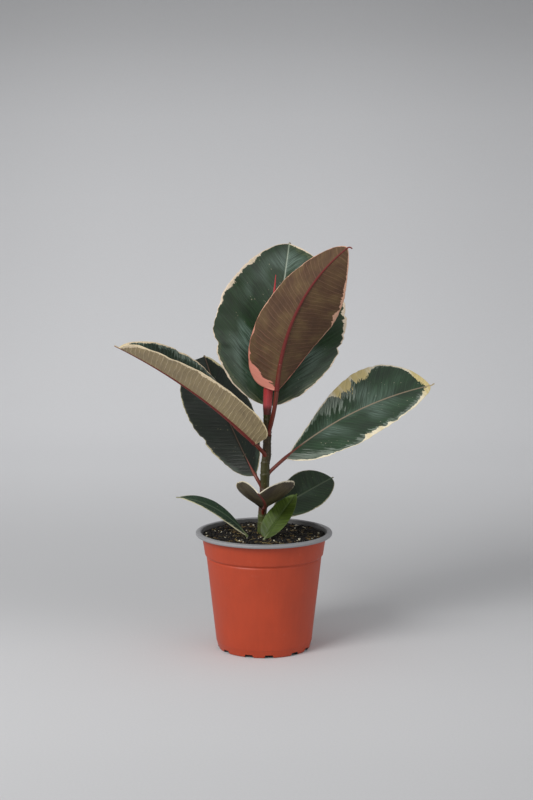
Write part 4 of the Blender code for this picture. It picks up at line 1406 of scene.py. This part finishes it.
class RUBBERPLANT_OT_stage(bpy.types.Operator):
    """Sets up the paper, the soft lamps and the camera"""

    bl_idname = "rubber_plant.stage"
    bl_label = "Set the stage"

    def execute(self, context):
        settings = context.scene.plant_stage
        # The sweep: level floor, a wide curve and an upright back.
        curve_start = SWEEP_BACK - SWEEP_BEND
        outline = [(SWEEP_FRONT, 0.0), (curve_start, 0.0)]
        for k in range(1, SWEEP_STEPS + 1):
            angle = k * pi / (2 * SWEEP_STEPS)
            outline.append((curve_start + SWEEP_BEND * sin(angle),
                            SWEEP_BEND - SWEEP_BEND * cos(angle)))
        outline.append((SWEEP_BACK, SWEEP_TOP))
        points = [(x, y, z) for y, z in outline for x in (-SWEEP_HALF_WIDTH, SWEEP_HALF_WIDTH)]
        faces = [(2 * i, 2 * i + 1, 2 * i + 3, 2 * i + 2) for i in range(len(outline) - 1)]
        mesh = bpy.data.meshes.new("paper_sweep")
        mesh.from_pydata(points, [], faces)
        mesh.polygons.foreach_set("use_smooth", [True] * len(faces))
        mesh.materials.append(seamless_paper(settings))
        paper = bpy.data.objects.new("paper_sweep", mesh)
        context.scene.collection.objects.link(paper)
        soft_lamp("key", KEY_PLACE, LAMP_AIM, KEY_SIZE, settings.key_power, KEY_TINT)
        soft_lamp("fill", FILL_PLACE, LAMP_AIM, FILL_SIZE, settings.fill_power, WHITE)
        world = bpy.data.worlds.new("room")
        world.use_nodes = True
        sky = world.node_tree.nodes["Background"]
        sky.inputs[0].default_value = opaque(WHITE)
        sky.inputs[1].default_value = settings.ambient
        context.scene.world = world
        context.scene.view_settings.view_transform = "Standard"
        camera = bpy.data.cameras.new("camera")
        camera.lens = settings.lens_mm
        camera.sensor_width = SENSOR_WIDTH_MM
        holder = bpy.data.objects.new("camera", camera)
        context.scene.collection.objects.link(holder)
        holder.location = CAMERA_PLACE
        holder.rotation_euler = (radians(90.0 - CAMERA_TILT), 0.0, 0.0)
        context.scene.camera = holder
        return {"FINISHED"}


# ---------------------------------------------------------------- add-on

OPERATORS = (
    RUBBERPLANT_OT_pot,
    RUBBERPLANT_OT_potting_mix,
    RUBBERPLANT_OT_stem,
    RUBBERPLANT_OT_bud_sheath,
    RUBBERPLANT_OT_leaves,
    RUBBERPLANT_OT_stage,
)


class RUBBERPLANT_PT_parts(bpy.types.Panel):
    """Lists the plant's parts in the 3D view's sidebar"""

    bl_label = "Rubber plant"
    bl_space_type = "VIEW_3D"
    bl_region_type = "UI"
    bl_category = "Rubber plant"

    def draw(self, context):
        for operator in OPERATORS:
            self.layout.operator(operator.bl_idname)


def register():
    for group in GROUPS.values():
        bpy.utils.register_class(group)
    for operator in OPERATORS:
        bpy.utils.register_class(operator)
    bpy.utils.register_class(RUBBERPLANT_PT_parts)
    for name, group in GROUPS.items():
        setattr(bpy.types.Scene, name, PointerProperty(type=group))


def unregister():
    for name in GROUPS:
        delattr(bpy.types.Scene, name)
    bpy.utils.unregister_class(RUBBERPLANT_PT_parts)
    for made in (*OPERATORS, *GROUPS.values()):
        bpy.utils.unregister_class(made)


def main():
    register()
    for operator in OPERATORS:
        group, call = operator.bl_idname.split(".")
        getattr(getattr(bpy.ops, group), call)()


if __name__ == "__main__":
    main()
